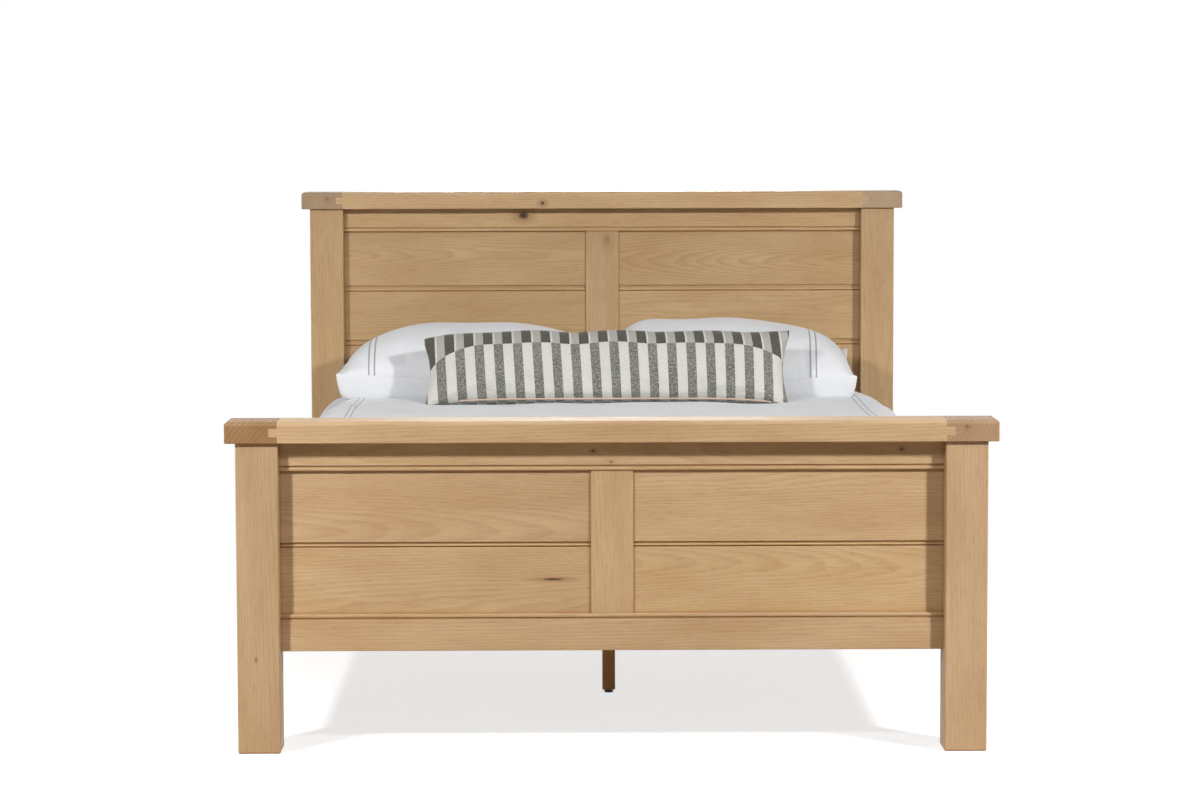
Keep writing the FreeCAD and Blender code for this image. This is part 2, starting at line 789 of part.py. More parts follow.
def duvet():
    """Duvet laid over the mattress, thin at its foot edge, its sides hanging in soft folds."""
    count = duvet_fold_count * duvet_section_count_per_fold
    sections = []
    for step in range(count + 1):
        along = duvet_length * step / count
        fold = duvet_fold_depth * math.sin(2 * math.pi * step / duvet_section_count_per_fold)
        rise = math.sin(min(along / duvet_edge_run, 1) * math.pi / 2)
        loft = duvet_edge_loft + (duvet_loft - duvet_edge_loft) * rise
        sections.append(duvet_section(duvet_foot_y + along, loft, fold))
    keep("duvet", Part.makeLoft(sections, True, True))


# ---------------------------------------------------------------- pillows and cushion

def crowned(t, end_fullness, crown_fullness):
    """Share of full thickness at t, which runs from -1 at one edge to 1 at the other."""
    return max((1 - abs(t) ** end_fullness) ** crown_fullness, least_crown)


def eased_steps(count):
    """Values from -1 to 1, closer together towards both ends."""
    return [-math.cos(math.pi * step / (count - 1)) for step in range(count)]


def swelling_arc(seam, crest, place):
    """Arc that leaves a seam and runs level when it reaches the crest, both given as (a, b)."""
    run = crest[0] - seam[0]
    rise = crest[1] - seam[1]
    tilt = math.atan2(abs(rise), abs(run))
    bow = math.tan(tilt / 2) / 2
    through_a = seam[0] + run / 2 - math.copysign(rise * bow, run)
    through_b = seam[1] + rise / 2 + math.copysign(run * bow, rise)
    return arc(place(*seam), place(through_a, through_b), place(*crest))


def pillow_section(x, t):
    """Section through a pillow: one arc over the top, a flat underside turned up to both seams."""
    crown = crowned(t, pillow_end_fullness, pillow_crown_fullness)
    draw_in = pillow_draw_in * (1 - t * t)
    front, rear = pillow_front_y + draw_in, pillow_rear_y - draw_in
    seam_z = bedding_floor + pillow_seam_height
    seam_low = seam_z - pillow_seam_thickness / 2
    seam_high = seam_z + pillow_seam_thickness / 2
    top = seam_high + (bedding_floor + pillow_height - seam_high) * crown
    low = seam_low - (seam_low - bedding_floor) * crown
    flat_front, flat_rear = front + pillow_underside_run, rear - pillow_underside_run
    place = on_yz(x)
    return Part.Wire([
        arc(place(front, seam_high), place((front + rear) / 2, top), place(rear, seam_high)),
        line(place(rear, seam_high), place(rear, seam_low)),
        swelling_arc((rear, seam_low), (flat_rear, low), place),
        line(place(flat_rear, low), place(flat_front, low)),
        swelling_arc((front, seam_low), (flat_front, low), place),
        line(place(front, seam_low), place(front, seam_high)),
    ])


def pillows():
    sections = []
    for t in eased_steps(pillow_section_count):
        sections.append(pillow_section(-pillow_centre_x + t * pillow_width / 2, t))
    keep_pair("pillow", Part.makeLoft(sections, True, True))


def cushion_section(z, t):
    """Level section through the upright cushion, full in the middle and drawn in to both side seams."""
    crown = crowned(t, cushion_edge_fullness, cushion_crown_fullness)
    seam = cushion_seam_thickness / 2
    half_thickness = seam + (cushion_thickness / 2 - seam) * crown
    half_width = cushion_width / 2 - cushion_draw_in * (1 - t * t)
    full_x = half_width - cushion_end_run
    place = on_xy(z)
    edges = [line(place(-half_width, seam), place(-half_width, -seam))]
    for way in (-1, 1):
        edges += [
            swelling_arc((-half_width, way * seam), (-full_x, way * half_thickness), place),
            line(place(-full_x, way * half_thickness), place(full_x, way * half_thickness)),
            swelling_arc((half_width, way * seam), (full_x, way * half_thickness), place),
        ]
    edges.append(line(place(half_width, -seam), place(half_width, seam)))
    return Part.Wire(Part.__sortEdges__(edges))


def lumbar_cushion():
    """Long cushion that leans back in front of the pillows."""
    sections = [cushion_section(t * cushion_height / 2, t) for t in eased_steps(cushion_section_count)]
    cushion = Part.makeLoft(sections, True, True)
    cushion.rotate(Vector(0, 0, 0), Vector(1, 0, 0), -cushion_lean)
    box = cushion.optimalBoundingBox(False, False)
    rear_y = pillow_front_y - cushion_pillow_gap
    cushion.translate(Vector(0, rear_y - box.YMax, bedding_floor - box.ZMin))
    keep("lumbar_cushion", cushion)


# ---------------------------------------------------------------- the whole bed

for each_board in (foot_board, head_board):
    end_board(each_board)
side_rails()
slats()
centre_rail()
centre_legs()
keep("centre_rail_hangers", hanger(foot_board), hanger(head_board))
foot_bracket, head_bracket = bracket(foot_board), bracket(head_board)
keep("corner_brackets", foot_bracket, mirrored(foot_bracket), head_bracket, mirrored(head_bracket))
keep("bolts", *bolts)
keep("threaded_inserts", *inserts)
keep("wood_screws", *screws)
mattress()
duvet()
pillows()
lumbar_cushion()

for name, shape in nodes.items():
    shape.exportStep(f"parts/{name}.step")
    box = shape.BoundBox
    print(f"{name}: {len(shape.Solids)} solid(s), z {box.ZMin:.1f} to {box.ZMax:.1f}")
print(len(nodes), "nodes")
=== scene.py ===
import math

import bmesh
import bpy
import numpy as np
from mathutils import Matrix, Vector


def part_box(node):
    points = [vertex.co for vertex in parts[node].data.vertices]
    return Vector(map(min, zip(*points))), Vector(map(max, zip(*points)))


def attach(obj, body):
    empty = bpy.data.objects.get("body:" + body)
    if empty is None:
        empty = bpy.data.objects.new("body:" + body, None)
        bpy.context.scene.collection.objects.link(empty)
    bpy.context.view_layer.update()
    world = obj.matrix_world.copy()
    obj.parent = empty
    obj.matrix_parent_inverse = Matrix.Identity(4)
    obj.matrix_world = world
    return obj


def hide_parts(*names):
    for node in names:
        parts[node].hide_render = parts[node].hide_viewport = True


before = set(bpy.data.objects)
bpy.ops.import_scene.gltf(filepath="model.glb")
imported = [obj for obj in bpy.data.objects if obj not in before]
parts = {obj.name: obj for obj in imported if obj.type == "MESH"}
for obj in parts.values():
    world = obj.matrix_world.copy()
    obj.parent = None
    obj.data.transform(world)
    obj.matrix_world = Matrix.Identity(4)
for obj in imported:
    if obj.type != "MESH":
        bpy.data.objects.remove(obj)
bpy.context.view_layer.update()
print("frame loaded:", len(parts), "parts")


def fill(tree, node, sockets):
    # each socket takes a plain value, or the output of another node
    for key, value in sockets.items():
        if isinstance(value, bpy.types.NodeSocket):
            tree.links.new(value, node.inputs[key])
        else:
            node.inputs[key].default_value = value


def put(tree, kind, sockets=None, **settings):
    node = tree.nodes.new(kind)
    for key, value in settings.items():
        setattr(node, key, value)
    fill(tree, node, sockets or {})
    return node


def treeOf(*values):
    return next(value.id_data for value in values if isinstance(value, bpy.types.NodeSocket))


def calc(operation, *values):
    # at least one of the values is a socket, which knows its tree
    return put(treeOf(*values), "ShaderNodeMath", dict(enumerate(values)), operation=operation).outputs[0]


def plus(first, second):
    return calc("ADD", first, second)


def minus(first, second):
    return calc("SUBTRACT", first, second)


def times(first, second):
    return calc("MULTIPLY", first, second)


def vectorCalc(operation, *values):
    node = put(treeOf(*values), "ShaderNodeVectorMath", dict(enumerate(values)), operation=operation)
    return node.outputs["Value" if operation == "LENGTH" else "Vector"]


def scaled(vector, amount):
    sockets = {0: vector, "Scale": amount}
    return put(treeOf(vector), "ShaderNodeVectorMath", sockets, operation="SCALE").outputs[0]


def joined(x, y, z):
    return put(treeOf(x, y, z), "ShaderNodeCombineXYZ", {0: x, 1: y, 2: z}).outputs[0]


def remap(value, fromMin, fromMax, toMin=0.0, toMax=1.0, smooth=False):
    kind = "SMOOTHSTEP" if smooth else "LINEAR"
    sockets = {"Value": value, "From Min": fromMin, "From Max": fromMax, "To Min": toMin, "To Max": toMax}
    return put(treeOf(value), "ShaderNodeMapRange", sockets, interpolation_type=kind).outputs["Result"]


def blendColour(share, under, over):
    # a mix node has one set of sockets for each kind of data; 6, 7 and output 2 are its colours
    return put(treeOf(share), "ShaderNodeMix", {0: share, 6: under, 7: over}, data_type="RGBA").outputs[2]


def measure(tree, label):
    # a value that stamp() wrote at every point of a cloth
    return put(tree, "ShaderNodeAttribute", attribute_name=label).outputs["Fac"]


def noise(vector, scale, detail=2.0, roughness=0.5, output="Fac"):
    sockets = {"Vector": vector, "Scale": scale, "Detail": detail, "Roughness": roughness}
    return put(treeOf(vector), "ShaderNodeTexNoise", sockets).outputs[output]


def rgb(red, green, blue):
    # 8-bit screen colour to the linear values that a shader takes
    def linear(value):
        value /= 255
        return value / 12.92 if value <= 0.04045 else ((value + 0.055) / 1.055) ** 2.4
    return (linear(red), linear(green), linear(blue), 1.0)


def tinted(colour, tint):
    # no surface sends back more than nine tenths of its light
    return tuple(min(channel * factor, 0.9) for channel, factor in zip(colour[:3], tint)) + (1.0,)


def blankTree(owner):
    owner.use_nodes = True
    owner.node_tree.nodes.clear()
    return owner.node_tree


def startMaterial(name):
    material = bpy.data.materials.new(name)
    tree = blankTree(material)
    shader = put(tree, "ShaderNodeBsdfPrincipled")
    put(tree, "ShaderNodeOutputMaterial", {"Surface": shader.outputs[0]})
    return material, tree, shader


def addBump(tree, shader, height, strength, distance):
    bump = put(tree, "ShaderNodeBump", {"Height": height, "Strength": strength, "Distance": distance})
    tree.links.new(bump.outputs[0], shader.inputs["Normal"])


def boxOf(node):
    return tuple(np.array(corner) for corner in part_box(node))


def dress(node, material):
    for slot in parts[node].material_slots:
        slot.material = material


oak = {
    "pale": rgb(193, 165, 127),
    "body": rgb(181, 150, 111),
    "late": rgb(150, 114, 72),
    "pore": rgb(124, 85, 49),
    "knot": rgb(62, 38, 22),
    # painted shade in crevices and inner corners: its colour, how far it reaches and how strong it is
    "creviceShade": rgb(150, 96, 6),
    "creviceShadeReach": 0.0075,
    "creviceShadeShare": 0.85,
    # edges made paler, partly wear and partly a painted highlight: how far in from an edge, how strong, and how
    # much paler
    "edgeWearAndHighlightReach": 0.0035,
    "edgeWearAndHighlightShare": 0.45,
    "edgeWearAndHighlightPaler": 1.12,
    "ringSpacing": 0.0045,
    "wander": 0.022,
    "ringShare": 0.20,
    "mostRingShare": 0.7,
    "streakShare": 0.32,
    "poreShare": 0.38,
    # noise scales, and how far the slow drift and the fibres are drawn out along the grain
    "driftScale": 7.0,
    "broadScale": 16.0,
    "streakScale": 290.0,
    "poreScale": 880.0,
    "driftAlong": 0.22,
    "fibreAlong": 0.045,
    "knotHalo": 0.42,
    "knotPull": 0.75,
    "strayTone": 0.035,
    "strayBlue": 0.03,
    "postFigure": 0.45,
    "roughness": (0.42, 0.58),
    "specular": 0.38,
    "bumpStrength": 0.22,
    "bumpDepth": 0.0004,
}

# knots and pitch streaks: x, y, z, radius, how much longer than wide they are, and how dark
oakKnots = {
    "head_top_rail": ((-0.2147, 1.043, 1.0800, 0.0085, 1.5, 1.0),),
    "head_cap_board": ((-0.1619, 1.006, 1.1144, 0.0042, 1.3, 0.9),),
    "head_muntin": ((0.0134, 1.047, 1.0122, 0.0075, 1.7, 0.28),),
    "foot_plank_2_left": ((-0.1259, -1.068, 0.3664, 0.0021, 9.0, 1.0),),
    "foot_top_rail": ((-0.0402, -1.077, 0.6411, 0.0028, 1.5, 0.8),
                      (-0.0021, -1.077, 0.6175, 0.0018, 1.6, 0.7),
                      (0.6136, -1.077, 0.6431, 0.0034, 1.2, 0.8)),
    "foot_post_left": ((-0.7552, -1.105, 0.2016, 0.0018, 1.8, 0.7),),
    "foot_cap_end_right": ((0.7475, -1.115, 0.6938, 0.0036, 1.4, 0.45),),
    "head_cap_end_left": ((-0.7474, 1.006, 1.1271, 0.0046, 1.4, 0.35),),
}

# how a piece was cut: shares of the oak's red, green and blue, where the tree's heart lay beside it and how
# much it leans along the piece, how strong its figure is, the rings' spacing and how far they wander
oakCuts = {
    "head_cap_board": {"tint": (1.07, 1.057, 1.075)},
    # the head top rail is a little paler, partly as painted light that makes up for the shade the cap casts on
    # it
    "head_top_rail": {"tint": (1.06, 1.04, 0.96)},
    "foot_cap_end_left": {"tint": (0.58, 0.478, 0.385), "heart": (0.070, -0.075), "figure": 1.9,
                          "spacing": 0.0085, "wander": 0.055},
    "foot_cap_end_right": {"tint": (0.725, 0.69, 0.755), "heart": (-0.080, 0.065), "figure": 1.2,
                           "spacing": 0.008, "wander": 0.055},
    "head_cap_end_left": {"tint": (0.80, 0.82, 0.92), "heart": (0.075, -0.060), "figure": 1.2,
                          "spacing": 0.008, "wander": 0.05},
    "head_cap_end_right": {"tint": (0.86, 0.92, 1.08), "heart": (-0.075, -0.070), "figure": 1.2,
                           "spacing": 0.008, "wander": 0.05},
    # the foot posts are darker, the left more, partly as painted shade that takes back the stronger lamp light
    # at the bed's outer ends
    "foot_post_left": {"tint": (0.88, 0.885, 0.93), "figure": 0.8},
    "foot_post_right": {"tint": (0.95, 0.96, 1.00)},
    "head_post_left": {"tint": (0.955, 0.935, 0.885)},
    "head_plank_1_left": {"heart": (0.004, 0.034), "tilt": 0.034, "figure": 1.15},
    "head_plank_1_right": {"heart": (-0.010, 0.045), "tilt": -0.060, "figure": 1.3},
    "foot_plank_1_left": {"heart": (-0.055, 0.075), "tilt": 0.035},
    "foot_plank_2_right": {"heart": (0.030, 0.060), "tilt": 0.045},
}
# the same for every piece whose name starts so
oakFamilies = {
    "slat": {"tint": (1.06, 1.12, 1.22), "figure": 0.8},
    # the centre leg is much paler, as painted light that makes up for the shade under the bed
    "centre_leg": {"tint": (1.45, 1.28, 0.98)},
    "head_": {"tint": (0.985, 0.970, 0.925)},
}


def oakMaterial(name, axis, centre, seed, cut, knots=()):
    # axis is the letter of the axis that the fibres follow; seed tells one board from the next
    material, tree, shader = startMaterial(name)
    place = put(tree, "ShaderNodeTexCoord").outputs["Object"]
    order = {"X": (0, 2, 1), "Y": (1, 0, 2), "Z": (2, 0, 1)}[axis]
    knotShade = knotHalo = None
    for x, y, z, radius, length, darkness in knots:
        away = vectorCalc("SUBTRACT", place, (x, y, z))
        squeeze = [1.0, 1.0, 1.0]
        squeeze[order[0]] = 1.0 / length
        reach = vectorCalc("LENGTH", vectorCalc("MULTIPLY", away, tuple(squeeze)))
        near = remap(reach, 0.0, radius * 5, 1.0, 0.0, smooth=True)
        # the grain parts round the knot
        place = vectorCalc("ADD", place, scaled(away, times(near, -oak["knotPull"])))
        wobble = times(noise(away, 220.0, 3.0), radius * 0.9)
        ragged = plus(reach, wobble)
        shade = remap(ragged, radius * 0.9, radius * 2.0, darkness, 0.0, smooth=True)
        halo = remap(reach, radius * 1.2, radius * 4.2, oak["knotHalo"] * darkness, 0.0, smooth=True)
        knotShade = shade if knotShade is None else calc("MAXIMUM", knotShade, shade)
        knotHalo = halo if knotHalo is None else calc("MAXIMUM", knotHalo, halo)
    parted = put(tree, "ShaderNodeSeparateXYZ", {0: vectorCalc("SUBTRACT", place, tuple(centre))})
    along, across, through = (parted.outputs[index] for index in order)
    shift = [math.fmod(seed * step, 3.0) for step in (1.37, 0.61, 0.83)]
    farAlong = plus(along, shift[0])
    slow = joined(times(farAlong, oak["driftAlong"]), plus(across, shift[1]), plus(through, shift[2]))
    cloud = noise(slow, oak["driftScale"], 3.0, 0.55, "Color")
    drift = scaled(vectorCalc("SUBTRACT", cloud, (0.5, 0.5, 0.5)), cut.get("wander", oak["wander"]))
    bend = put(tree, "ShaderNodeSeparateXYZ", {0: drift})
    # growth rings round a heart beside the board, which leans a little along it
    heart = cut.get("heart", (0.09 * math.sin(seed * 2.1), 0.075 + 0.03 * math.cos(seed * 1.7)))
    tilt = cut.get("tilt", 0.02 * math.sin(seed * 3.3))
    heartAcross = plus(minus(across, heart[0]), bend.outputs[0])
    heartThrough = plus(minus(through, heart[1]), bend.outputs[1])
    heartThrough = minus(heartThrough, times(along, tilt))
    radial = calc("SQRT", plus(times(heartAcross, heartAcross), times(heartThrough, heartThrough)))
    rings = calc("FRACT", calc("DIVIDE", radial, cut.get("spacing", oak["ringSpacing"])))
    ringEdge = times(remap(rings, 0.2, 0.9, smooth=True), remap(rings, 0.9, 1.0, 1.0, 0.0))
    # fine fibres and short dark pores, drawn out along the grain
    fibre = joined(times(farAlong, oak["fibreAlong"]),
                   plus(across, times(bend.outputs[0], 0.8)),
                   plus(through, times(bend.outputs[1], 0.8)))
    streaks = noise(fibre, oak["streakScale"], 3.0, 0.6)
    aside = vectorCalc("ADD", fibre, (shift[2], shift[0], shift[1]))
    pores = noise(aside, oak["poreScale"], 2.0, 0.55)
    broad = noise(slow, oak["broadScale"])
    # no two boards have quite the same tone
    stray = oak["strayTone"] * math.sin(seed * 2.7)
    bluer = oak["strayBlue"] * math.sin(seed * 5.1)
    red, green, blue = cut.get("tint", (1.0, 1.0, 1.0))
    tint = (red * (1 + stray), green * (1 + stray), blue * (1 + stray + bluer))
    pale, body, late, pore = (tinted(oak[shade], tint) for shade in ("pale", "body", "late", "pore"))
    figure = cut.get("figure", oak["postFigure"] if axis == "Z" else 1.0)
    ringShare = min(oak["ringShare"] * figure, oak["mostRingShare"])
    colour = blendColour(remap(broad, 0.3, 0.7), body, pale)
    colour = blendColour(times(ringEdge, ringShare), colour, late)
    colour = blendColour(remap(streaks, 0.48, 0.78, 0.0, oak["streakShare"]), colour, late)
    poreWeight = plus(0.5, times(ringEdge, 0.7))
    poreMask = times(remap(pores, 0.53, 0.72, 0.0, oak["poreShare"]), poreWeight)
    colour = blendColour(poreMask, colour, pore)
    if knotShade is not None:
        colour = blendColour(knotHalo, colour, oak["pore"])
        colour = blendColour(knotShade, colour, oak["knot"])
    # edges rubbed paler, partly as real wear and partly as a painted highlight along the rounded edges
    wearAndHighlightEdges = put(tree, "ShaderNodeAmbientOcclusion", {"Distance": oak["edgeWearAndHighlightReach"]}, samples=6, inside=True,
                only_local=True)
    worn = times(remap(wearAndHighlightEdges.outputs["AO"], 0.92, 0.55, 0.0, oak["edgeWearAndHighlightShare"]),
                 remap(broad, 0.3, 0.6, 0.4, 1.0))
    rubbedAndHighlit = tinted(oak["pale"], [share * oak["edgeWearAndHighlightPaler"] for share in tint])
    colour = blendColour(worn, colour, rubbedAndHighlit)
    # crevices and inner corners painted a warm dark brown: painted shade where little light gets in, warmed as
    # by light bounced between two faces of oak
    shadeInCrevices = put(tree, "ShaderNodeAmbientOcclusion", {"Distance": oak["creviceShadeReach"]}, samples=6)
    creviceShadeMask = remap(shadeInCrevices.outputs["AO"], 0.88, 0.30, 0.0, oak["creviceShadeShare"])
    colour = blendColour(creviceShadeMask, colour, oak["creviceShade"])
    fill(tree, shader, {"Base Color": colour, "Roughness": remap(streaks, 0.3, 0.7, *oak["roughness"]),
                        "Specular IOR Level": oak["specular"]})
    height = minus(times(streaks, 0.5), remap(pores, 0.55, 0.74))
    addBump(tree, shader, height, oak["bumpStrength"], oak["bumpDepth"])
    return material


def fibreAxis(name):
    if "cap_end" in name or name.startswith(("side_rail", "slat_ledger", "centre_rail")):
        return "Y"
    if "post" in name or "muntin" in name or name.startswith("centre_leg"):
        return "Z"
    return "X"


wooden = sorted(name for name in parts if name.startswith(("foot_", "head_", "side_", "slat_", "centre_"))
                and name != "centre_rail_hangers")
for seed, name in enumerate(wooden, start=1):
    cut = {}
    for word, family in oakFamilies.items():
        if name.startswith(word):
            cut.update(family)
    cut.update(oakCuts.get(name, {}))
    low, high = boxOf(name)
    knots = oakKnots.get(name, ())
    dress(name, oakMaterial("oak_" + name, fibreAxis(name), (low + high) / 2, seed, cut, knots))
print("oak laid on", len(wooden), "pieces")


fixingLook = {
    # base colour, metal share, roughness range, bump depth
    "powder_coat": (rgb(44, 44, 46), 0.0, (0.42, 0.55), 0.00012),
    "bright_zinc": (rgb(188, 190, 194), 1.0, (0.26, 0.42), 0.00004),
    "yellow_brass": (rgb(196, 164, 98), 1.0, (0.28, 0.40), 0.00004),
    "black_plastic": (rgb(36, 36, 38), 0.0, (0.40, 0.58), 0.00008),
}


def fixingMaterial(name):
    colour, metal, roughness, depth = fixingLook[name]
    material, tree, shader = startMaterial(name)
    place = put(tree, "ShaderNodeTexCoord").outputs["Object"]
    haze = noise(place, 60.0, 4.0, 0.6)
    peel = noise(place, 900.0, 2.0)
    worn = tinted(colour, (0.8, 0.8, 0.8))
    fill(tree, shader, {"Base Color": blendColour(remap(haze, 0.4, 0.7), colour, worn),
                        "Roughness": remap(haze, 0.3, 0.7, *roughness), "Metallic": metal})
    addBump(tree, shader, peel, 0.4, depth)
    return material


for finish, nodes in {"powder_coat": ("corner_brackets", "centre_rail_hangers"),
                      "bright_zinc": ("bolts", "wood_screws", "leg_hanger_bolts"),
                      "yellow_brass": ("threaded_inserts",),
                      "black_plastic": ("levelling_foot_1", "levelling_foot_2")}.items():
    surface = fixingMaterial(finish)
    for node in nodes:
        dress(node, surface)
print("fixings and feet finished")


def clothGrid(look, lowest=-1):
    # v changes from row to row, u from column to column
    rows, columns = np.linspace(lowest, 1, look["rows"] + 1), np.linspace(-1, 1, look["columns"] + 1)
    return np.meshgrid(rows, columns, indexing="ij")


def shellMesh(name, front, back):
    # closes two grids of points (rows, columns, xyz) that share their border into one cloth shell
    rows, columns = front.shape[:2]
    frontIndex = np.arange(rows * columns).reshape(rows, columns)
    backIndex = frontIndex.copy()
    inner = (rows - 2) * (columns - 2)
    backIndex[1:-1, 1:-1] = rows * columns + np.arange(inner).reshape(rows - 2, columns - 2)
    points = np.vstack([front.reshape(-1, 3), back[1:-1, 1:-1].reshape(-1, 3)])
    faces = []
    for index, flip in ((frontIndex, False), (backIndex, True)):
        corners = np.stack([index[:-1, :-1], index[:-1, 1:], index[1:, 1:], index[1:, :-1]], -1).reshape(-1, 4)
        faces.append(corners[:, ::-1] if flip else corners)
    return meshPiece(name, points, np.vstack(faces).tolist())


def meshPiece(name, points, faces):
    mesh = bpy.data.meshes.new(name)
    mesh.from_pydata(np.asarray(points).tolist(), [], faces)
    mesh.shade_smooth()
    piece = bpy.data.objects.new(name, mesh)
    bpy.context.scene.collection.objects.link(piece)
    return piece


def rimOf(grid):
    # marks the border that the two grids of a shell share
    rim = np.ones(grid.shape, bool)
    rim[1:-1, 1:-1] = False
    return rim


def rimAndBack(grid, piece):
    # indices of a shell's border and of its back grid
    return np.concatenate([np.flatnonzero(rimOf(grid).ravel()), np.arange(grid.size, len(piece.data.vertices))])


def shareOf(value, limits):
    # 0 at the first limit, 1 at the second
    return np.clip((value - limits[0]) / (limits[1] - limits[0]), 0, 1)


def easeIn(share):
    return share * share * (3 - 2 * share)


def keep(piece, label, values):
    piece.data.attributes.new(label, "FLOAT", "POINT").data.foreach_set("value", values.astype(np.float32))


def stamp(piece, label, frontValues, backValues):
    # keeps a measure of the flat cloth at every point, for the stripes and the stitching
    keep(piece, label, np.concatenate([frontValues.ravel(), backValues[1:-1, 1:-1].ravel()]))


def readPoints(mesh):
    flat = np.empty(len(mesh.vertices) * 3)
    mesh.vertices.foreach_get("co", flat)
    return flat.reshape(-1, 3)


def writePoints(mesh, points):
    mesh.vertices.foreach_set("co", points.ravel())
    mesh.update()


def plump(piece, look, held=None):
    # lets the cloth grow a little and fill with air, then keeps each point within reach of its start
    start = readPoints(piece.data)
    cloth = piece.modifiers.new("cloth", "CLOTH")
    settings = cloth.settings
    settings.quality = 6
    settings.mass = 0.2
    settings.tension_stiffness = settings.compression_stiffness = look["stretch"]
    settings.shear_stiffness = look["stretch"] / 3
    settings.bending_stiffness = look["bend"]
    settings.use_pressure = True
    settings.uniform_pressure_force = look["pressure"]
    settings.shrink_min = -look["growth"]
    settings.effector_weights.gravity = 0
    if held is not None:
        group = piece.vertex_groups.new(name="held")
        group.add(held.tolist(), 1.0, "REPLACE")
        settings.vertex_group_mass = "held"
    cloth.collision_settings.use_collision = False
    cloth.point_cache.frame_start, cloth.point_cache.frame_end = 1, look["frames"]
    for step in range(1, look["frames"] + 1):
        bpy.context.scene.frame_set(step)
    moved = readPoints(piece.evaluated_get(bpy.context.evaluated_depsgraph_get()).data)
    piece.modifiers.remove(cloth)
    bpy.context.scene.frame_set(1)
    travel = moved - start
    reach = np.linalg.norm(travel, axis=1, keepdims=True)
    writePoints(piece.data, start + travel * look["cap"] / np.maximum(reach, look["cap"]))


def soften(piece):
    # one subdivision, applied so that the mesh is final
    modifier = piece.modifiers.new("smooth", "SUBSURF")
    modifier.levels = modifier.render_levels = 1
    mesh = bpy.data.meshes.new_from_object(piece.evaluated_get(bpy.context.evaluated_depsgraph_get()))
    piece.modifiers.remove(modifier)
    old = piece.data
    piece.data = mesh
    mesh.name = old.name
    bpy.data.meshes.remove(old)
    mesh.shade_smooth()


def swell(x, y, waves):
    # sum of long waves (amplitude, rate in x, rate in y, phase) for uneven swells
    return sum(amplitude * np.sin(x * rateX + y * rateY + phase) for amplitude, rateX, rateY, phase in waves)


def ringFaces(rings, sides, closed=False):
    # four-cornered faces between each ring of points and the next
    faces = []
    for ring in range(rings if closed else rings - 1):
        here, there = ring * sides, (ring + 1) % rings * sides
        for turn in range(sides):
            beside = (turn + 1) % sides
            faces.append((here + turn, here + beside, there + beside, there + turn))
    return faces


def tube(path, radius, sides=8, closed=True):
    # points and faces of a round cord along a path
    path = np.asarray(path)
    ahead = np.roll(path, -1, 0) - np.roll(path, 1, 0)
    if not closed:
        ahead[0], ahead[-1] = path[1] - path[0], path[-1] - path[-2]
    ahead /= np.linalg.norm(ahead, axis=1, keepdims=True)
    side = np.cross(ahead, (0.0, 0.0, 1.0))
    side /= np.linalg.norm(side, axis=1, keepdims=True)
    upward = np.cross(side, ahead)
    turns = np.linspace(0, 2 * math.pi, sides, endpoint=False)
    points = (path[:, None] + radius * (np.cos(turns)[None, :, None] * side[:, None]
                                        + np.sin(turns)[None, :, None] * upward[:, None])).reshape(-1, 3)
    faces = ringFaces(len(path), sides, closed)
    if not closed:
        faces.append(tuple(range(sides - 1, -1, -1)))
        faces.append(tuple((len(path) - 1) * sides + turn for turn in range(sides)))
    return points, faces


weaveLook = {
    "roughness": (0.81, 0.91),
    "sheen": 0.2,
    "specular": 0.2,
    "bumpStrength": 0.28,
    "bumpDepth": 0.0008,
    "creaseScale": 7.0,
    "creaseWidth": 0.12,
    "creaseWander": 0.25,
    "slubScale": 800.0,
    # heights are shares of the bump depth
    "embroideryHeight": 1.0,
    "seamHeight": -1.4,
    "seamWidth": 0.0016,
    "seamShade": 0.35,
    "yarnTwist": 110.0,
}

linen = rgb(226, 228, 231)
embroidery = rgb(140, 141, 145)


def threads(place, thread, way):
    # ridges of threads this far apart, which run across the axis named by way
    sockets = {"Vector": place, "Scale": 0.16 / thread, "Distortion": 1.2, "Detail": 1.0}
    return put(treeOf(place), "ShaderNodeTexWave", sockets, bands_direction=way).outputs["Fac"]


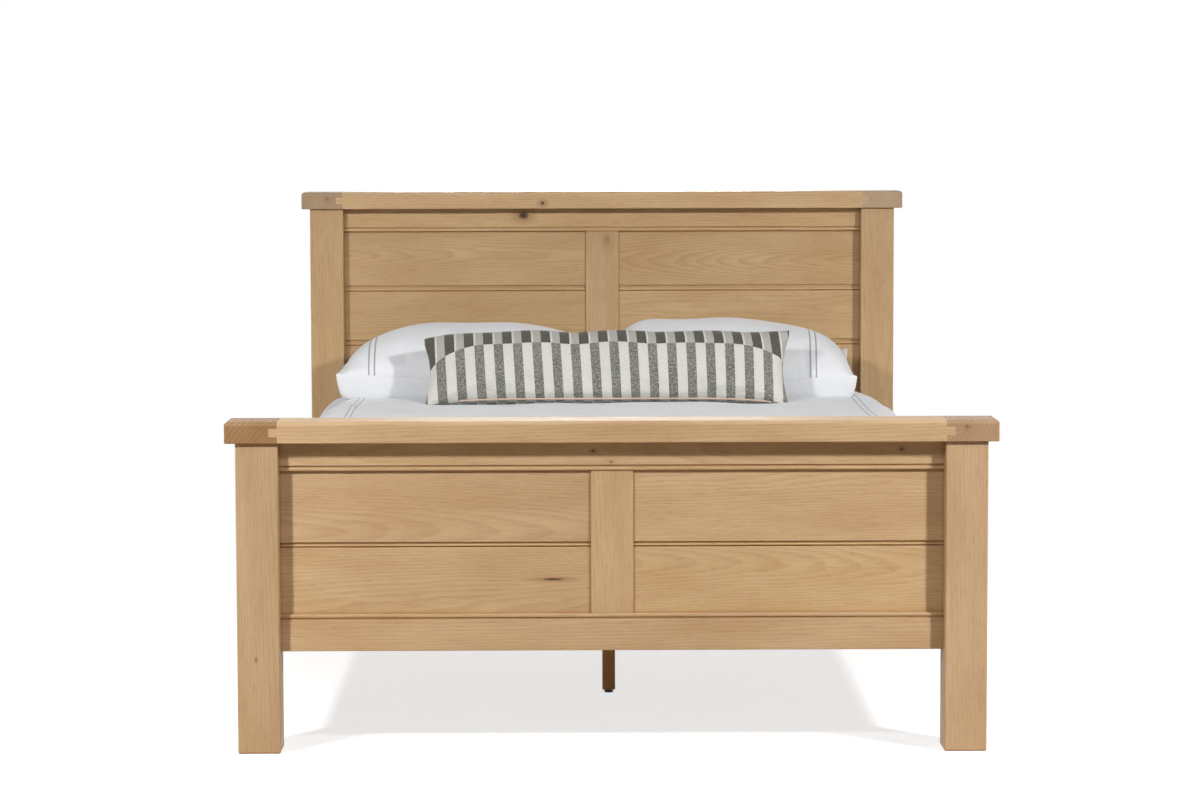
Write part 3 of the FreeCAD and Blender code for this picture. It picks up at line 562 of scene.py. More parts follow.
def clothMaterial(name, colour, thread=0.0009, creaseDepth=0.004, lines=None, seams=()):
    # plain weave; lines are embroidered and seams are stitched, each at distances kept in an attribute
    look = weaveLook
    material, tree, shader = startMaterial(name)
    place = put(tree, "ShaderNodeTexCoord").outputs["Object"]
    mottle = noise(place, 6.0, 3.0)
    base = blendColour(remap(mottle, 0.35, 0.65), colour, tinted(colour, (0.965, 0.965, 0.97)))
    slub = noise(place, look["slubScale"], 2.0, 0.7)
    base = blendColour(remap(slub, 0.45, 0.75, 0.0, 0.2), base, tinted(colour, (0.82, 0.82, 0.83)))
    weave = plus(threads(place, thread, "X"), threads(place, thread, "Y"))
    height = times(weave, 0.5)
    wander = noise(place, 4.0, output="Color")
    folded = vectorCalc("ADD", place, scaled(wander, look["creaseWander"]))
    ridges = minus(noise(folded, look["creaseScale"], 3.0, 0.45), 0.5)
    ridges = remap(calc("ABSOLUTE", ridges), 0.0, look["creaseWidth"], smooth=True)
    height = plus(height, times(ridges, creaseDepth / look["bumpDepth"]))
    rows = [(lines, lines["width"], look["embroideryHeight"])] if lines else []
    rows += [(seam, look["seamWidth"], look["seamHeight"]) for seam in seams]
    for row, width, rise in rows:
        value = measure(tree, row["attribute"])
        stitched = None
        for middle in row["middles"]:
            off = calc("ABSOLUTE", minus(value, middle))
            line = remap(off, width / 2 * 0.75, width / 2 * 1.25, 1.0, 0.0)
            stitched = line if stitched is None else calc("MAXIMUM", stitched, line)
        if row is lines:
            twist = put(tree, "ShaderNodeTexWave", {"Vector": place, "Scale": look["yarnTwist"]},
                        bands_direction="DIAGONAL").outputs["Fac"]
            yarn = blendColour(twist, row["colour"], tinted(row["colour"], (1.45, 1.45, 1.45)))
            base = blendColour(stitched, base, yarn)
        else:
            shade = times(stitched, look["seamShade"])
            base = blendColour(shade, base, tinted(colour, (0.6, 0.6, 0.62)))
        height = plus(height, times(stitched, rise))
    fill(tree, shader, {"Base Color": base, "Roughness": remap(mottle, 0.3, 0.7, *look["roughness"]),
                        "Sheen Weight": look["sheen"], "Specular IOR Level": look["specular"]})
    addBump(tree, shader, height, look["bumpStrength"], look["bumpDepth"])
    return material


mattressLook = {
    "cornerRadius": 0.07,
    "edgeRadius": 0.038,
    "sideBulge": 0.006,
    "quiltPitch": 0.11,
    "quiltDepth": 0.006,
    "pipingRadius": 0.0045,
    "pipingDrop": 0.030,
    "tuftRate": 28.0,
    "sideRows": 12,
    "edgeSteps": 6,
    "cornerSteps": 8,
    "stepsAlong": (72, 54),
    # rings of points across each face, as shares of its outline
    "faceRings": (0.0, 0.25, 0.5, 0.72, 0.86, 0.94),
    "colour": rgb(224, 221, 214),
}


def roundedOutline(halfX, halfY, radius, perCorner, perSide):
    # points round a rectangle with round corners, anticlockwise
    arcs = []
    for signX, signY, turn in ((1, -1, -90), (1, 1, 0), (-1, 1, 90), (-1, -1, 180)):
        angle = np.radians(turn + np.linspace(0, 90, perCorner + 1))
        arcs.append(np.column_stack([signX * (halfX - radius) + radius * np.cos(angle),
                                     signY * (halfY - radius) + radius * np.sin(angle)]))
    stretches = []
    for index, arc in enumerate(arcs):
        following = arcs[(index + 1) % 4]
        stretches += [arc, np.linspace(arc[-1], following[0], perSide[index % 2] + 1)[1:-1]]
    return np.vstack(stretches)


def makeMattress(look):
    low, high = boxOf("mattress")
    half = (high - low) / 2
    outline = roundedOutline(half[0], half[1], look["cornerRadius"], look["cornerSteps"], look["stepsAlong"])
    outward = outline / np.linalg.norm(outline, axis=1, keepdims=True)
    edge = look["edgeRadius"]
    # share of the outline, height, and how far a ring stands out of the outline, from the underside up
    rings = [(share, low[2], 0.0) for share in look["faceRings"]]
    for step in range(look["edgeSteps"] + 1):
        angle = math.radians(90 * step / look["edgeSteps"])
        rings.append((1.0, low[2] + edge * (1 - math.cos(angle)), -edge * (1 - math.sin(angle))))
    for step in range(1, look["sideRows"]):
        bulge = -look["sideBulge"] * (1 - math.sin(math.pi * step / look["sideRows"]))
        rings.append((1.0, low[2] + edge + (high[2] - low[2] - 2 * edge) * step / look["sideRows"], bulge))
    for ring in range(len(look["faceRings"]) + look["edgeSteps"], -1, -1):
        share, z, inset = rings[ring]
        rings.append((share, low[2] + high[2] - z, inset))
    along = np.cumsum(np.linalg.norm(np.diff(outline, axis=0, append=outline[:1]), axis=1))
    points = []
    for share, z, inset in rings:
        level = np.full(len(outline), z)
        if share < 1:
            # quilted faces, dimpled where two rows of stitches cross
            plan = outline * (1 - edge / half[0]) * share
            rate = math.pi / look["quiltPitch"]
            dimple = np.abs(np.sin((plan[:, 0] + plan[:, 1]) * rate) * np.sin((plan[:, 0] - plan[:, 1]) * rate))
            sign = 1 if z > (low[2] + high[2]) / 2 else -1
            level = level - sign * look["quiltDepth"] * share * (1 - share) * 4 * (1 - dimple)
        else:
            plan = outline + outward * inset
            if low[2] + edge < z < high[2] - edge:
                tuft = 1 - np.abs(np.sin(along * look["tuftRate"]))
                plan = plan - outward * (look["quiltDepth"] * 0.5 * tuft)[:, None]
        points.append(np.column_stack([plan, level]))
    faces = ringFaces(len(points), len(outline))
    flat = np.vstack(points)
    for z in (low[2] + look["pipingDrop"], high[2] - look["pipingDrop"]):
        path = np.column_stack([outline - outward * look["pipingRadius"], np.full(len(outline), z)])
        cordPoints, cordFaces = tube(path, look["pipingRadius"])
        faces += [tuple(corner + len(flat) for corner in face) for face in cordFaces]
        flat = np.vstack([flat, cordPoints])
    cover = meshPiece("mattress_cover", flat, faces)
    weld = bmesh.new()
    weld.from_mesh(cover.data)
    bmesh.ops.remove_doubles(weld, verts=weld.verts, dist=0.0001)
    weld.to_mesh(cover.data)
    weld.free()
    return cover


mattressCover = makeMattress(mattressLook)
mattressKnit = clothMaterial("mattress_knit", mattressLook["colour"], thread=0.0018, creaseDepth=0.001)
mattressCover.data.materials.append(mattressKnit)
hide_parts("mattress")
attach(mattressCover, "bedding")
print("mattress made")


duvetLook = {
    # a little darker than the pillows' linen, as painted shade that takes back the lamp above's extra light on
    # the duvet's top
    "cloth": rgb(219, 221, 224),
    "columns": 116,
    "rows": 124,
    "loft": 0.0545,
    "edgeLoft": 0.020,
    "edgeRun": 0.13,
    "sideThickness": 0.018,
    "hemThickness": 0.010,
    "flare": 0.013,
    "foldDepth": 0.0095,
    "lineAt": {"left": 0.6195, "right": 0.6345},
    "lineGap": 0.0138,
    "lineWidth": 0.0032,
    "hemStitch": 0.022,
    # clear of the mattress, radius of its bend over the mattress's edge, and what lies under the foot end's hem
    "clear": 0.0003,
    "innerBend": 0.038,
    "outerBend": 0.045,
    "footHem": 0.012,
    "hemLift": 0.004,
    # it sinks where the pillows lie, from one y to the next, and slopes off towards its sides
    "pressedBy": 0.005,
    "pressedFrom": (0.20, 0.35),
    "shoulderDrop": {"left": 0.007, "right": -0.003},
    "shoulderFrom": (0.62, 0.72),
    "settledBy": 0.003,
    "calmFrom": (0.35, 0.50),
    "calmShare": 0.7,
    # amplitude, rate in x, rate in y, phase
    "swells": ((0.0026, 9.0, 3.0, 0.0), (0.0022, -5.0, 8.0, 1.0), (0.0018, 17.0, -11.0, 2.2),
               (0.0012, 31.0, 14.0, 0.7)),
    "folds": ((0.5, 0, 23.0, 0.4), (0.32, 0, 37.0, 2.0), (0.28, 0, 61.0, 1.1), (0.2, 0, 13.0, 0.0)),
    "stretch": 10.0,
    "bend": 0.15,
    "pressure": 1.0,
    "growth": 0.035,
    "frames": 18,
    "cap": 0.010,
}


def duvetProfile(distance, loft, look, mattressTop, mattressSide, hem, outer):
    # across and height of the duvet's upper or inner face, at a distance over the cloth from the middle line
    radius = look["outerBend"] + loft if outer else look["innerBend"]
    side = mattressSide + (look["sideThickness"] if outer else look["clear"])
    top = mattressTop + (loft if outer else 0.0)
    flat = side - radius
    bend = radius * math.pi / 2
    length = np.abs(distance)
    angle = np.clip((length - flat) / radius, 0, math.pi / 2)
    x = np.where(length <= flat, length, flat + radius * np.sin(angle))
    z = top - radius + radius * np.cos(angle)
    below = np.clip(length - flat - bend, 0, None)
    fall = top - radius - hem
    share = np.clip(below / fall, 0, 1)
    z = np.where(below > 0, top - radius - below, z)
    return np.sign(distance) * (x + look["flare"] * share), z, share, flat + bend + fall


def makeDuvet(look):
    low, high = boxOf("duvet")
    mattressHigh = boxOf("mattress")[1]
    top, side, hem = mattressHigh[2] + look["clear"], mattressHigh[0], low[2]
    v, u = clothGrid(look, 0)
    y = low[1] + (high[1] - low[1]) * v
    footRun = np.sin(np.clip((y - low[1]) / look["edgeRun"], 0, 1) * math.pi / 2)
    headRun = np.sin(np.clip((high[1] - y) / look["edgeRun"], 0, 1) * math.pi / 2)
    run = np.minimum(footRun, headRun)
    loft = look["edgeLoft"] + (look["loft"] - look["edgeLoft"]) * run
    # half of the cloth's run over the bed, on its upper and on its inner face
    reaches = {outer: duvetProfile(np.array([0.0]), look["loft"], look, top, side, hem, outer)[3]
               for outer in (True, False)}
    sheets = []
    for outer in (True, False):
        faceLoft = loft if outer else 0 * loft
        x, z, share, _ = duvetProfile(u * reaches[outer], faceLoft, look, top, side, hem, outer)
        fold = swell(0, y, look["folds"]) + np.sign(u) * 0.35 * np.sin(y * 29.0)
        x = x + np.sign(u) * np.maximum(look["foldDepth"] * fold * share ** 0.8, -0.9 * look["flare"] * share)
        if outer:
            # long soft swells, calmer where the pillows lie
            calm = 1 - look["calmShare"] * shareOf(y, look["calmFrom"])
            z = z + (swell(x, y, look["swells"]) - look["settledBy"]) * (1 - share) * run * calm
            z = z - look["pressedBy"] * easeIn(shareOf(y, look["pressedFrom"])) * (1 - share) * run
            drop = np.where(x < 0, look["shoulderDrop"]["left"], look["shoulderDrop"]["right"])
            z = z - drop * easeIn(shareOf(np.abs(x), look["shoulderFrom"])) * (1 - share) * run
        else:
            x = x + np.sign(u) * (look["sideThickness"] - look["hemThickness"]) * share
            z = z + look["hemLift"] * share
        sheets.append(np.stack([x, y, z], -1))
    outer, inner = sheets
    rim = rimOf(u)
    outer[rim] = ((outer + inner) / 2)[rim]
    duvet = shellMesh("duvet_cover", outer, inner)
    across = np.abs(u) * reaches[True]
    # the right line lies further out, so its half of the cloth is counted from further in
    further = look["lineAt"]["right"] - look["lineAt"]["left"]
    stamp(duvet, "acrossCloth", np.where(u > 0, across - further, across), across * 0)
    stamp(duvet, "fromEdge", np.minimum(reaches[True] - across, y - low[1] + look["footHem"]), across * 0 + 1)
    plump(duvet, look, rimAndBack(u, duvet))
    soften(duvet)
    return duvet


duvet = makeDuvet(duvetLook)
duvetLines = {"attribute": "acrossCloth", "width": duvetLook["lineWidth"], "colour": embroidery,
              "middles": (duvetLook["lineAt"]["left"], duvetLook["lineAt"]["left"] + duvetLook["lineGap"])}
duvetSeam = {"attribute": "fromEdge", "middles": (duvetLook["hemStitch"],)}
duvetCotton = clothMaterial("duvet_cotton", duvetLook["cloth"], lines=duvetLines, seams=(duvetSeam,))
duvet.data.materials.append(duvetCotton)
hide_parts("duvet")
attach(duvet, "bedding")
print("duvet made")


pillowLook = {
    "columns": 92,
    "rows": 68,
    # height of the side seam at the near corner and at the far corner of the open end
    "seamHeight": {"left": (0.068, 0.078), "right": (0.056, 0.080)},
    "farEar": {"left": 0.0, "right": 0.024},
    "openEndIn": {"left": (-0.003, 0.002), "right": (0.037, 0.024)},
    "sinksBy": 0.004,
    "crownLean": {"left": -0.11, "right": -0.14},
    # swell of the top: phase, depth; its waves are amplitude, rate in x, rate in y, multiple of the phase
    "dents": {"left": (1.3, 1.0), "right": (0.2, 0.9)},
    "dentWaves": ((0.004, 11.0, 5.0, 1), (0.004, -7.0, 13.0, 2), (0.003, 24.0, -9.0, 1)),
    # seam puckers: height, rate in x, rate in y
    "pucker": (0.004, 61.0, 53.0),
    "crownBelow": 0.004,
    "crownRise": {"left": 0.0, "right": 0.010},
    "endDrawIn": 0.010,
    "sideDrawIn": 0.012,
    "innerEnd": {"left": (5.5, 0.50), "right": (10.0, 0.50)},
    "outerEnd": {"left": (3.2, 0.66), "right": (3.8, 0.58)},
    "flapShare": 0.938,
    "sides": (2.3, 0.62),
    "underside": (36.0, 0.50),
    # embroidered lines: x at the near side, x at the far side, gap
    "lines": {"left": (-0.601, -0.594, 0.0148), "right": (0.541, 0.550, 0.0150)},
    "lineWidth": 0.0038,
    "stretch": 10.0,
    "bend": 0.12,
    "pressure": 2.6,
    "growth": 0.018,
    "frames": 20,
    "cap": 0.014,
}


def fullness(value, power, root):
    # 1 in the middle, falling to 0 at -1 and 1: the power keeps it flat, the root rounds its shoulders
    return np.clip(1 - np.abs(value) ** power, 0, 1) ** root


def makePillow(side, look):
    low, high = boxOf("pillow_" + side)
    outward = -1 if side == "left" else 1
    centre, half = (low + high) / 2, (high - low) / 2
    v, u = clothGrid(look)
    near, far = (1 - v) / 2, (1 + v) / 2
    openEnd = np.clip(u * outward, 0, 1) ** 2
    x = centre[0] + u * (half[0] - look["endDrawIn"] * (1 - v ** 4))
    x = x - outward * openEnd * (look["openEndIn"][side][0] * near + look["openEndIn"][side][1] * far)
    y = centre[1] + v * (half[1] - look["sideDrawIn"] * (1 - u ** 4))
    # the case is longer than the pillow, so its open end lies flat on top
    ends = np.where(u * outward > 0, fullness(u / look["flapShare"], *look["outerEnd"][side]),
                    fullness(u, *look["innerEnd"][side]))
    crown = ends * fullness(v, *look["sides"]) * (1 + look["crownLean"][side] * u)
    floorLevel = low[2] - look["sinksBy"]
    seam = low[2] + look["seamHeight"][side][0] * near + look["seamHeight"][side][1] * far
    seam = seam + look["farEar"][side] * openEnd ** 3 * shareOf(v, (0.3, 1.0))
    shift, depth = look["dents"][side]
    dents = depth * swell(x, y, [(*wave, multiple * shift) for *wave, multiple in look["dentWaves"]])
    under = fullness(u, *look["underside"]) * fullness(v, *look["underside"])
    # the seam wanders up and down a little between its corners
    puckerHeight, rateX, rateY = look["pucker"]
    pucker = puckerHeight * np.sin(x * rateX + shift) * np.sin(y * rateY) * (1 - under)
    top = seam + (high[2] - look["crownBelow"] - seam) * crown + dents * crown + pucker
    bottom = seam - (seam - floorLevel) * under + pucker
    pillow = shellMesh("pillow_case_" + side, np.stack([x, y, top], -1), np.stack([x, y, bottom], -1))
    lineNear, lineFar = look["lines"][side][:2]
    fromLine = outward * (x - lineNear * near - lineFar * far) + 1
    stamp(pillow, "fromLine", fromLine, fromLine + 1)
    plump(pillow, look, rimAndBack(u, pillow))
    points = readPoints(pillow.data)
    # the cloth pass lifts the crown by a share of its own, so the crown is brought back to its height
    level = seam.mean()
    above = points[:, 2] > level
    crownTop = high[2] + look["crownRise"][side]
    points[above, 2] = level + (points[above, 2] - level) * (crownTop - level) / (points[:, 2].max() - level)
    points[:, 2] = np.maximum(points[:, 2], floorLevel)
    writePoints(pillow.data, points)
    soften(pillow)
    return pillow


for side in ("left", "right"):
    pillow = makePillow(side, pillowLook)
    halfGap = pillowLook["lines"][side][2] / 2
    pillowLines = {"attribute": "fromLine", "width": pillowLook["lineWidth"], "colour": embroidery,
                   "middles": (1 - halfGap, 1 + halfGap)}
    pillowCotton = clothMaterial("pillow_cotton_" + side, linen, creaseDepth=0.006, lines=pillowLines)
    pillow.data.materials.append(pillowCotton)
    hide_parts("pillow_" + side)
    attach(pillow, side + "_pillow")
print("pillows made")


cushionLook = {
    "columns": 132,
    "rows": 44,
    "height": 0.206,
    "thickness": 0.118,
    "lean": 12.0,
    "sideDrawIn": 0.013,
    "cornersAt": (-0.463, 0.4740),
    "endFullness": (5.0, 0.60),
    "edgeFullness": (2.3, 0.56),
    "bottomSeamForward": 0.040,
    "bottomSeamLift": 0.020,
    "topSeamBack": 0.036,
    "topSeamRise": 0.003,
    "topSeamWave": (0.0022, 13.0, 0.6),
    "lowerCornersForward": 0.042,
    # rise of the left and the right upper corner
    "earRise": (-0.021, 0.0),
    # the back panel's sag below the lower seam: depth, where on its height, how wide
    "backDip": (0.024, -0.90, 0.12),
    "sinksBy": 0.006,
    "dipSinksBy": 0.004,
    "stripesByCloth": (0.86, 0.96),
    "stretch": 12.0,
    "bend": 0.25,
    "pressure": 2.0,
    "growth": 0.02,
    "frames": 18,
    "cap": 0.007,
    "stripePitch": 0.0488,
    "stripeShift": -0.0037,
    # where in a stripe's pitch its dark half lies, where the band's tones swap, and its cream line's width
    "darkPhase": (0.03, 0.51),
    "blockPhase": 0.5,
    "creamPhase": 0.105,
    # the band's width at the ends, and how much more it is in the middle
    "bandWidth": 0.085,
    "bandBulge": 0.0095,
    "bandHalf": 0.46,
    "twillPitch": 0.0121,
    "twillRate": 760.0,
    "zipRadius": 0.0024,
    # the tape's run, as shares of the lower seam's length
    "zipRun": (0.10, 0.95),
    "zipForward": 0.0015,
    "charcoal": rgb(118, 119, 112),
    "charcoalSlub": rgb(178, 178, 172),
    "cream": rgb(206, 204, 197),
    "blockGrey": rgb(176, 174, 167),
    "blockDark": rgb(80, 77, 68),
    "blockSlub": rgb(150, 148, 140),
    "roughness": 0.92,
    "sheen": 0.2,
    "specular": 0.15,
    "bumpStrength": 0.5,
    "bumpDepth": 0.0012,
    "zip": rgb(196, 174, 156),
}


def makeCushion(look):
    low, high = boxOf("lumbar_cushion")
    v, u = clothGrid(look)
    halfWidth = (high[0] - low[0]) / 2
    x = u * (halfWidth - look["sideDrawIn"] * (1 - v * v))
    crown = fullness(u, *look["endFullness"]) * fullness(v, *look["edgeFullness"])
    inner = 1 - u ** 6
    lowerEdge, upperEdge = np.clip(-v, 0, 1) ** 2 * inner, np.clip(v, 0, 1) ** 2 * inner
    height = v * look["height"] / 2 + look["bottomSeamLift"] * lowerEdge + look["topSeamRise"] * upperEdge
    waveHeight, waveRate, wavePhase = look["topSeamWave"]
    height = height + waveHeight * np.sin(u * waveRate + wavePhase) * upperEdge
    height = height + np.where(u < 0, *look["earRise"]) * (1 - inner) * np.clip(v, 0, 1)
    depthShift = look["topSeamBack"] * upperEdge - look["bottomSeamForward"] * lowerEdge
    depthShift = depthShift - look["lowerCornersForward"] * (1 - inner) * np.clip(-v, 0, 1)
    dents = 1 + 0.05 * np.sin(u * 9.0 + 1.0) * (1 - v * v) + 0.04 * np.sin(u * 17.0 + v * 2.0)
    half = look["thickness"] / 2 * crown * dents
    lean = math.radians(look["lean"])
    grids = []
    for way in (-1, 1):
        depth = way * half + depthShift
        grids.append(np.stack([x, depth * math.cos(lean) + height * math.sin(lean),
                               height * math.cos(lean) - depth * math.sin(lean)], -1))
    cushion = shellMesh("cushion_cover", *grids)
    # distance over the cloth from the top seam, down each face
    downs = []
    for grid in grids:
        steps = np.linalg.norm(np.diff(grid, axis=0), axis=2)
        downs.append(np.vstack([np.cumsum(steps[::-1], axis=0)[::-1], np.zeros(u.shape[1])]))
    stamp(cushion, "fromTopSeam", downs[0], downs[1])
    stamp(cushion, "backFace", 0 * u, 0 * u + 1)
    # the lower seam is the first row of points; it lies on the duvet and stays where it is
    seamRow = slice(0, u.shape[1])
    plump(cushion, look, np.arange(u.shape[1]))
    points = readPoints(cushion.data)
    points[:, 0] = np.interp(points[:, 0], points[seamRow, 0][[0, -1]], look["cornersAt"])
    points[:, 1] += high[1] - points[:, 1].max()
    points[:, 2] += low[2] - look["sinksBy"] - points[seamRow, 2].min()
    # the back panel sags below the lower seam, so a strip of it shows from the front
    dip, dipAt, dipWidth = look["backDip"]
    points[u.size:, 2] -= (dip * np.exp(-((v - dipAt) / dipWidth) ** 2) * inner)[1:-1, 1:-1].ravel()
    points[:, 2] = np.maximum(points[:, 2], low[2] - look["dipSinksBy"])
    writePoints(cushion.data, points)
    # near its ends the back panel's stripes go by the cloth, or they would close into rings there
    across = points[:, 0].copy()
    backU = u[1:-1, 1:-1].ravel()
    byCloth = np.interp(backU, (-1, 1), look["cornersAt"])
    across[u.size:] += shareOf(np.abs(backU), look["stripesByCloth"]) * (byCloth - across[u.size:])
    keep(cushion, "acrossCloth", across)
    seamPath = points[seamRow].copy()
    soften(cushion)
    return cushion, seamPath


def stripedMaterial(look):
    material, tree, shader = startMaterial("cushion_stripes")
    across, down, back = (measure(tree, label) for label in ("acrossCloth", "fromTopSeam", "backFace"))
    flat = joined(across, down, back)
    fleck = noise(flat, 260.0, 3.0, 0.75)
    slub = noise(flat, 190.0, 3.0, 0.75)
    worn = noise(flat, 14.0, 2.0, 0.5)
    # the cloth lies a little askew: its stripes lean, more at the left end and over the top on the right
    right = calc("MAXIMUM", across, 0.0)
    upper = times(calc("MINIMUM", down, 0.08), calc("MULTIPLY_ADD", right, 0.11, 0.05))
    lower = calc("MAXIMUM", minus(down, 0.08), 0.0)
    lean = plus(upper, times(lower, calc("MULTIPLY_ADD", right, -0.13, 0.06)))
    wander = times(minus(fleck, 0.5), 0.0022)
    shifted = plus(minus(across, lean), plus(wander, look["stripeShift"]))
    # counted from well outside the cushion, so that the count is never below zero
    count = plus(calc("DIVIDE", shifted, look["stripePitch"]), 100.0)
    phase = calc("FRACT", count)
    # stripe: dark warp on one half; its upper band swaps the tones and adds a thin cream line
    darkFrom, darkTo = look["darkPhase"]
    dark = times(calc("GREATER_THAN", phase, darkFrom), calc("LESS_THAN", phase, darkTo))
    turned = calc("GREATER_THAN", phase, look["blockPhase"])
    chevron = plus(calc("PINGPONG", shifted, look["twillPitch"]), down)
    chevron = plus(chevron, times(slub, 0.003))
    twill = remap(calc("SINE", times(chevron, look["twillRate"])), -0.3, 0.8)
    charcoal = blendColour(remap(worn, 0.35, 0.65),
                           tinted(look["charcoal"], (0.68, 0.68, 0.66)), look["charcoal"])
    charcoal = blendColour(times(twill, 0.62), charcoal, tinted(look["charcoal"], (0.34, 0.34, 0.32)))
    charcoal = blendColour(remap(slub, 0.44, 0.62, 0.0, 0.60), charcoal, look["charcoalSlub"])
    cream = blendColour(remap(slub, 0.48, 0.70, 0.0, 0.42),
                        look["cream"], tinted(look["cream"], (0.62, 0.61, 0.57)))
    body = blendColour(dark, cream, charcoal)
    grey = blendColour(remap(fleck, 0.4, 0.7),
                       look["blockGrey"], tinted(look["blockGrey"], (0.82, 0.82, 0.82)))
    brown = blendColour(remap(slub, 0.5, 0.75, 0.0, 0.4), look["blockDark"], look["blockSlub"])
    block = blendColour(turned, grey, brown)
    block = blendColour(calc("LESS_THAN", phase, look["creamPhase"]), block, look["cream"])
    narrowing = -look["bandBulge"] / look["bandHalf"] ** 2
    nearEnd = times(times(across, across), narrowing)
    bandEdge = plus(nearEnd, look["bandWidth"] + look["bandBulge"])
    inBand = calc("LESS_THAN", plus(down, wander), bandEdge)
    # the back panel is the same cloth, so its band lies along the lower seam
    frontFace = minus(1.0, back)
    lowBand = times(back, calc("GREATER_THAN", down, 0.15))
    inBand = calc("MAXIMUM", times(inBand, frontFace), lowBand)
    colour = blendColour(inBand, body, block)
    fill(tree, shader, {"Base Color": colour, "Roughness": look["roughness"], "Sheen Weight": look["sheen"],
                        "Specular IOR Level": look["specular"]})
    height = plus(times(twill, dark), plus(fleck, slub))
    addBump(tree, shader, height, look["bumpStrength"], look["bumpDepth"])
    return material


cushion, seamPath = makeCushion(cushionLook)
cushion.data.materials.append(stripedMaterial(cushionLook))
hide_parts("lumbar_cushion")
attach(cushion, "cushion")

zipFrom, zipTo = (int(len(seamPath) * share) for share in cushionLook["zipRun"])
zipRun = seamPath[zipFrom:zipTo] - np.array([0.0, cushionLook["zipForward"], 0.0])
zipTape = meshPiece("cushion_zip", *tube(zipRun, cushionLook["zipRadius"], closed=False))
zipTape.data.materials.append(clothMaterial("zip_tape", cushionLook["zip"], thread=0.0012, creaseDepth=0.0))
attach(zipTape, "cushion")
print("cushion made")


white = (1.0, 1.0, 1.0, 1.0)

stageLook = {
    "floorSize": 40.0,
    "floorTone": (0.45, 0.45, 0.45, 1.0),
    "floorGlow": 0.72,
    # the floor is white beyond these distances from its middle, which count less along x and y
    "fadeFrom": 1.15,
    "fadeTo": 2.1,
    "fadeShape": (0.9, 0.7, 1.0),
    "worldFill": 0.07,
    "fillTint": (1.0, 0.88, 0.74, 1.0),
    "bounceTone": (0.55, 0.44, 0.33, 1.0),
    "lamps": (
        # place, aim, width, power, spread in degrees
        ((-2.53, -3.4, 2.65), (-1.70, -1.1, 0.45), 0.32, 46.0, 90.0),
        ((3.17, -3.4, 2.75), (1.80, -1.1, 0.45), 0.32, 58.0, 90.0),
        ((0.0, -1.2, 4.6), (0.0, 0.0, 0.6), 2.5, 32.0, 180.0),
        ((0.0, 5.2, 1.6), (0.0, 1.1, 0.5), 1.6, 75.0, 120.0),
        ((-4.6, 1.2, 0.75), (-0.8, -0.1, 0.35), 0.7, 7.0, 70.0),
        ((4.6, 1.2, 0.75), (0.8, -0.1, 0.35), 0.7, 7.0, 70.0),
    ),
}

# camera fitted to the photograph: metres, radians, and the focal length in the photograph's pixels
shot = {
    "place": (-0.0865, -8.2125, 1.34),
    "yaw": 0.00860285,
    "pitch": 0.0825862,
    "roll": 0.0024955,
    "focalPixels": 3386.67,
    "imageWidth": 1200.0,
    "sensor": 36.0,
    "farthest": 100.0,
}


def lookFrom(shot):
    yaw, pitch, roll = shot["yaw"], shot["pitch"], shot["roll"]
    ahead = Vector((math.sin(yaw) * math.cos(pitch), math.cos(yaw) * math.cos(pitch), -math.sin(pitch)))
    right = Vector((math.cos(yaw), -math.sin(yaw), 0.0))
    down = ahead.cross(right)
    rolledRight = right * math.cos(roll) + down * math.sin(roll)
    rolledDown = down * math.cos(roll) - right * math.sin(roll)
    turn = Matrix((rolledRight, -rolledDown, -ahead)).transposed().to_4x4()
    return Matrix.Translation(shot["place"]) @ turn


def makeCamera():
    data = bpy.data.cameras.new("camera")
    data.sensor_fit = "HORIZONTAL"
    data.sensor_width = shot["sensor"]
    data.lens = shot["focalPixels"] / shot["imageWidth"] * shot["sensor"]
    data.clip_end = shot["farthest"]
    camera = bpy.data.objects.new("camera", data)
    camera.matrix_world = lookFrom(shot)
    bpy.context.scene.collection.objects.link(camera)
    bpy.context.scene.camera = camera


def makeLamps():
    for number, (place, aim, width, power, spread) in enumerate(stageLook["lamps"], start=1):
        data = bpy.data.lights.new(f"lamp_{number}", "AREA")
        data.size = width
        data.energy = power
        data.spread = math.radians(spread)
        lamp = bpy.data.objects.new(f"lamp_{number}", data)
        lamp.location = place
        lamp.visible_camera = False
        lamp.rotation_euler = (Vector(aim) - Vector(place)).to_track_quat("-Z", "Y").to_euler()
        bpy.context.scene.collection.objects.link(lamp)


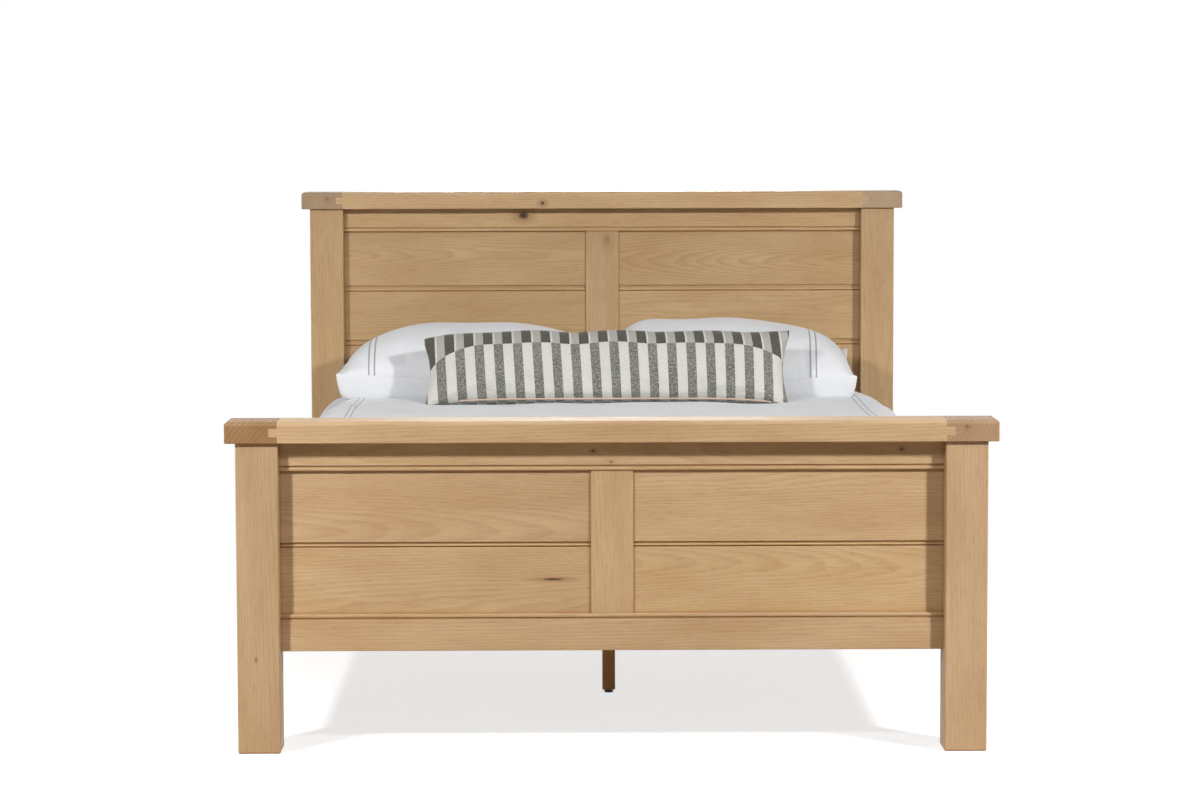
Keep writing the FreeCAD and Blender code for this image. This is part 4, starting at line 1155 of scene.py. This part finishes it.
def seenRays(tree):
    path = put(tree, "ShaderNodeLightPath")
    seen = calc("MAXIMUM", path.outputs["Is Camera Ray"], path.outputs["Is Glossy Ray"])
    return calc("MAXIMUM", seen, path.outputs["Is Transmission Ray"])


def makeWorld():
    world = bpy.data.worlds.new("studio")
    bpy.context.scene.world = world
    tree = blankTree(world)
    seen = seenRays(tree)
    strength = remap(seen, 0.0, 1.0, stageLook["worldFill"], 1.0)
    colour = blendColour(seen, stageLook["fillTint"], white)
    back = put(tree, "ShaderNodeBackground", {"Color": colour, "Strength": strength})
    put(tree, "ShaderNodeOutputWorld", {"Surface": back.outputs[0]})


def makeFloor():
    # pale matt floor that keeps the bed's shadow and turns into the white background further out
    half = stageLook["floorSize"] / 2
    corners = [(-half, -half, 0), (half, -half, 0), (half, half, 0), (-half, half, 0)]
    floor = meshPiece("floor", corners, [(0, 1, 2, 3)])
    material = bpy.data.materials.new("pale_floor")
    tree = blankTree(material)
    seen = seenRays(tree)
    # light that the floor sends back on to the bed is warm, as off the boards of a room
    tone = blendColour(seen, stageLook["bounceTone"], stageLook["floorTone"])
    matt = put(tree, "ShaderNodeBsdfDiffuse", {"Color": tone})
    shine = times(seen, stageLook["floorGlow"])
    glow = put(tree, "ShaderNodeEmission", {"Color": white, "Strength": shine})
    near = put(tree, "ShaderNodeAddShader", {0: matt.outputs[0], 1: glow.outputs[0]})
    beyond = put(tree, "ShaderNodeEmission", {"Color": white, "Strength": 1.0})
    place = put(tree, "ShaderNodeTexCoord").outputs["Object"]
    reach = vectorCalc("LENGTH", vectorCalc("MULTIPLY", place, stageLook["fadeShape"]))
    away = remap(reach, stageLook["fadeFrom"], stageLook["fadeTo"], smooth=True)
    both = put(tree, "ShaderNodeMixShader", {0: times(away, seen), 1: near.outputs[0], 2: beyond.outputs[0]})
    put(tree, "ShaderNodeOutputMaterial", {"Surface": both.outputs[0]})
    floor.data.materials.append(material)


makeCamera()
makeLamps()
makeWorld()
makeFloor()
bpy.context.scene.view_settings.view_transform = "Standard"
print("stage, lamps and camera set")
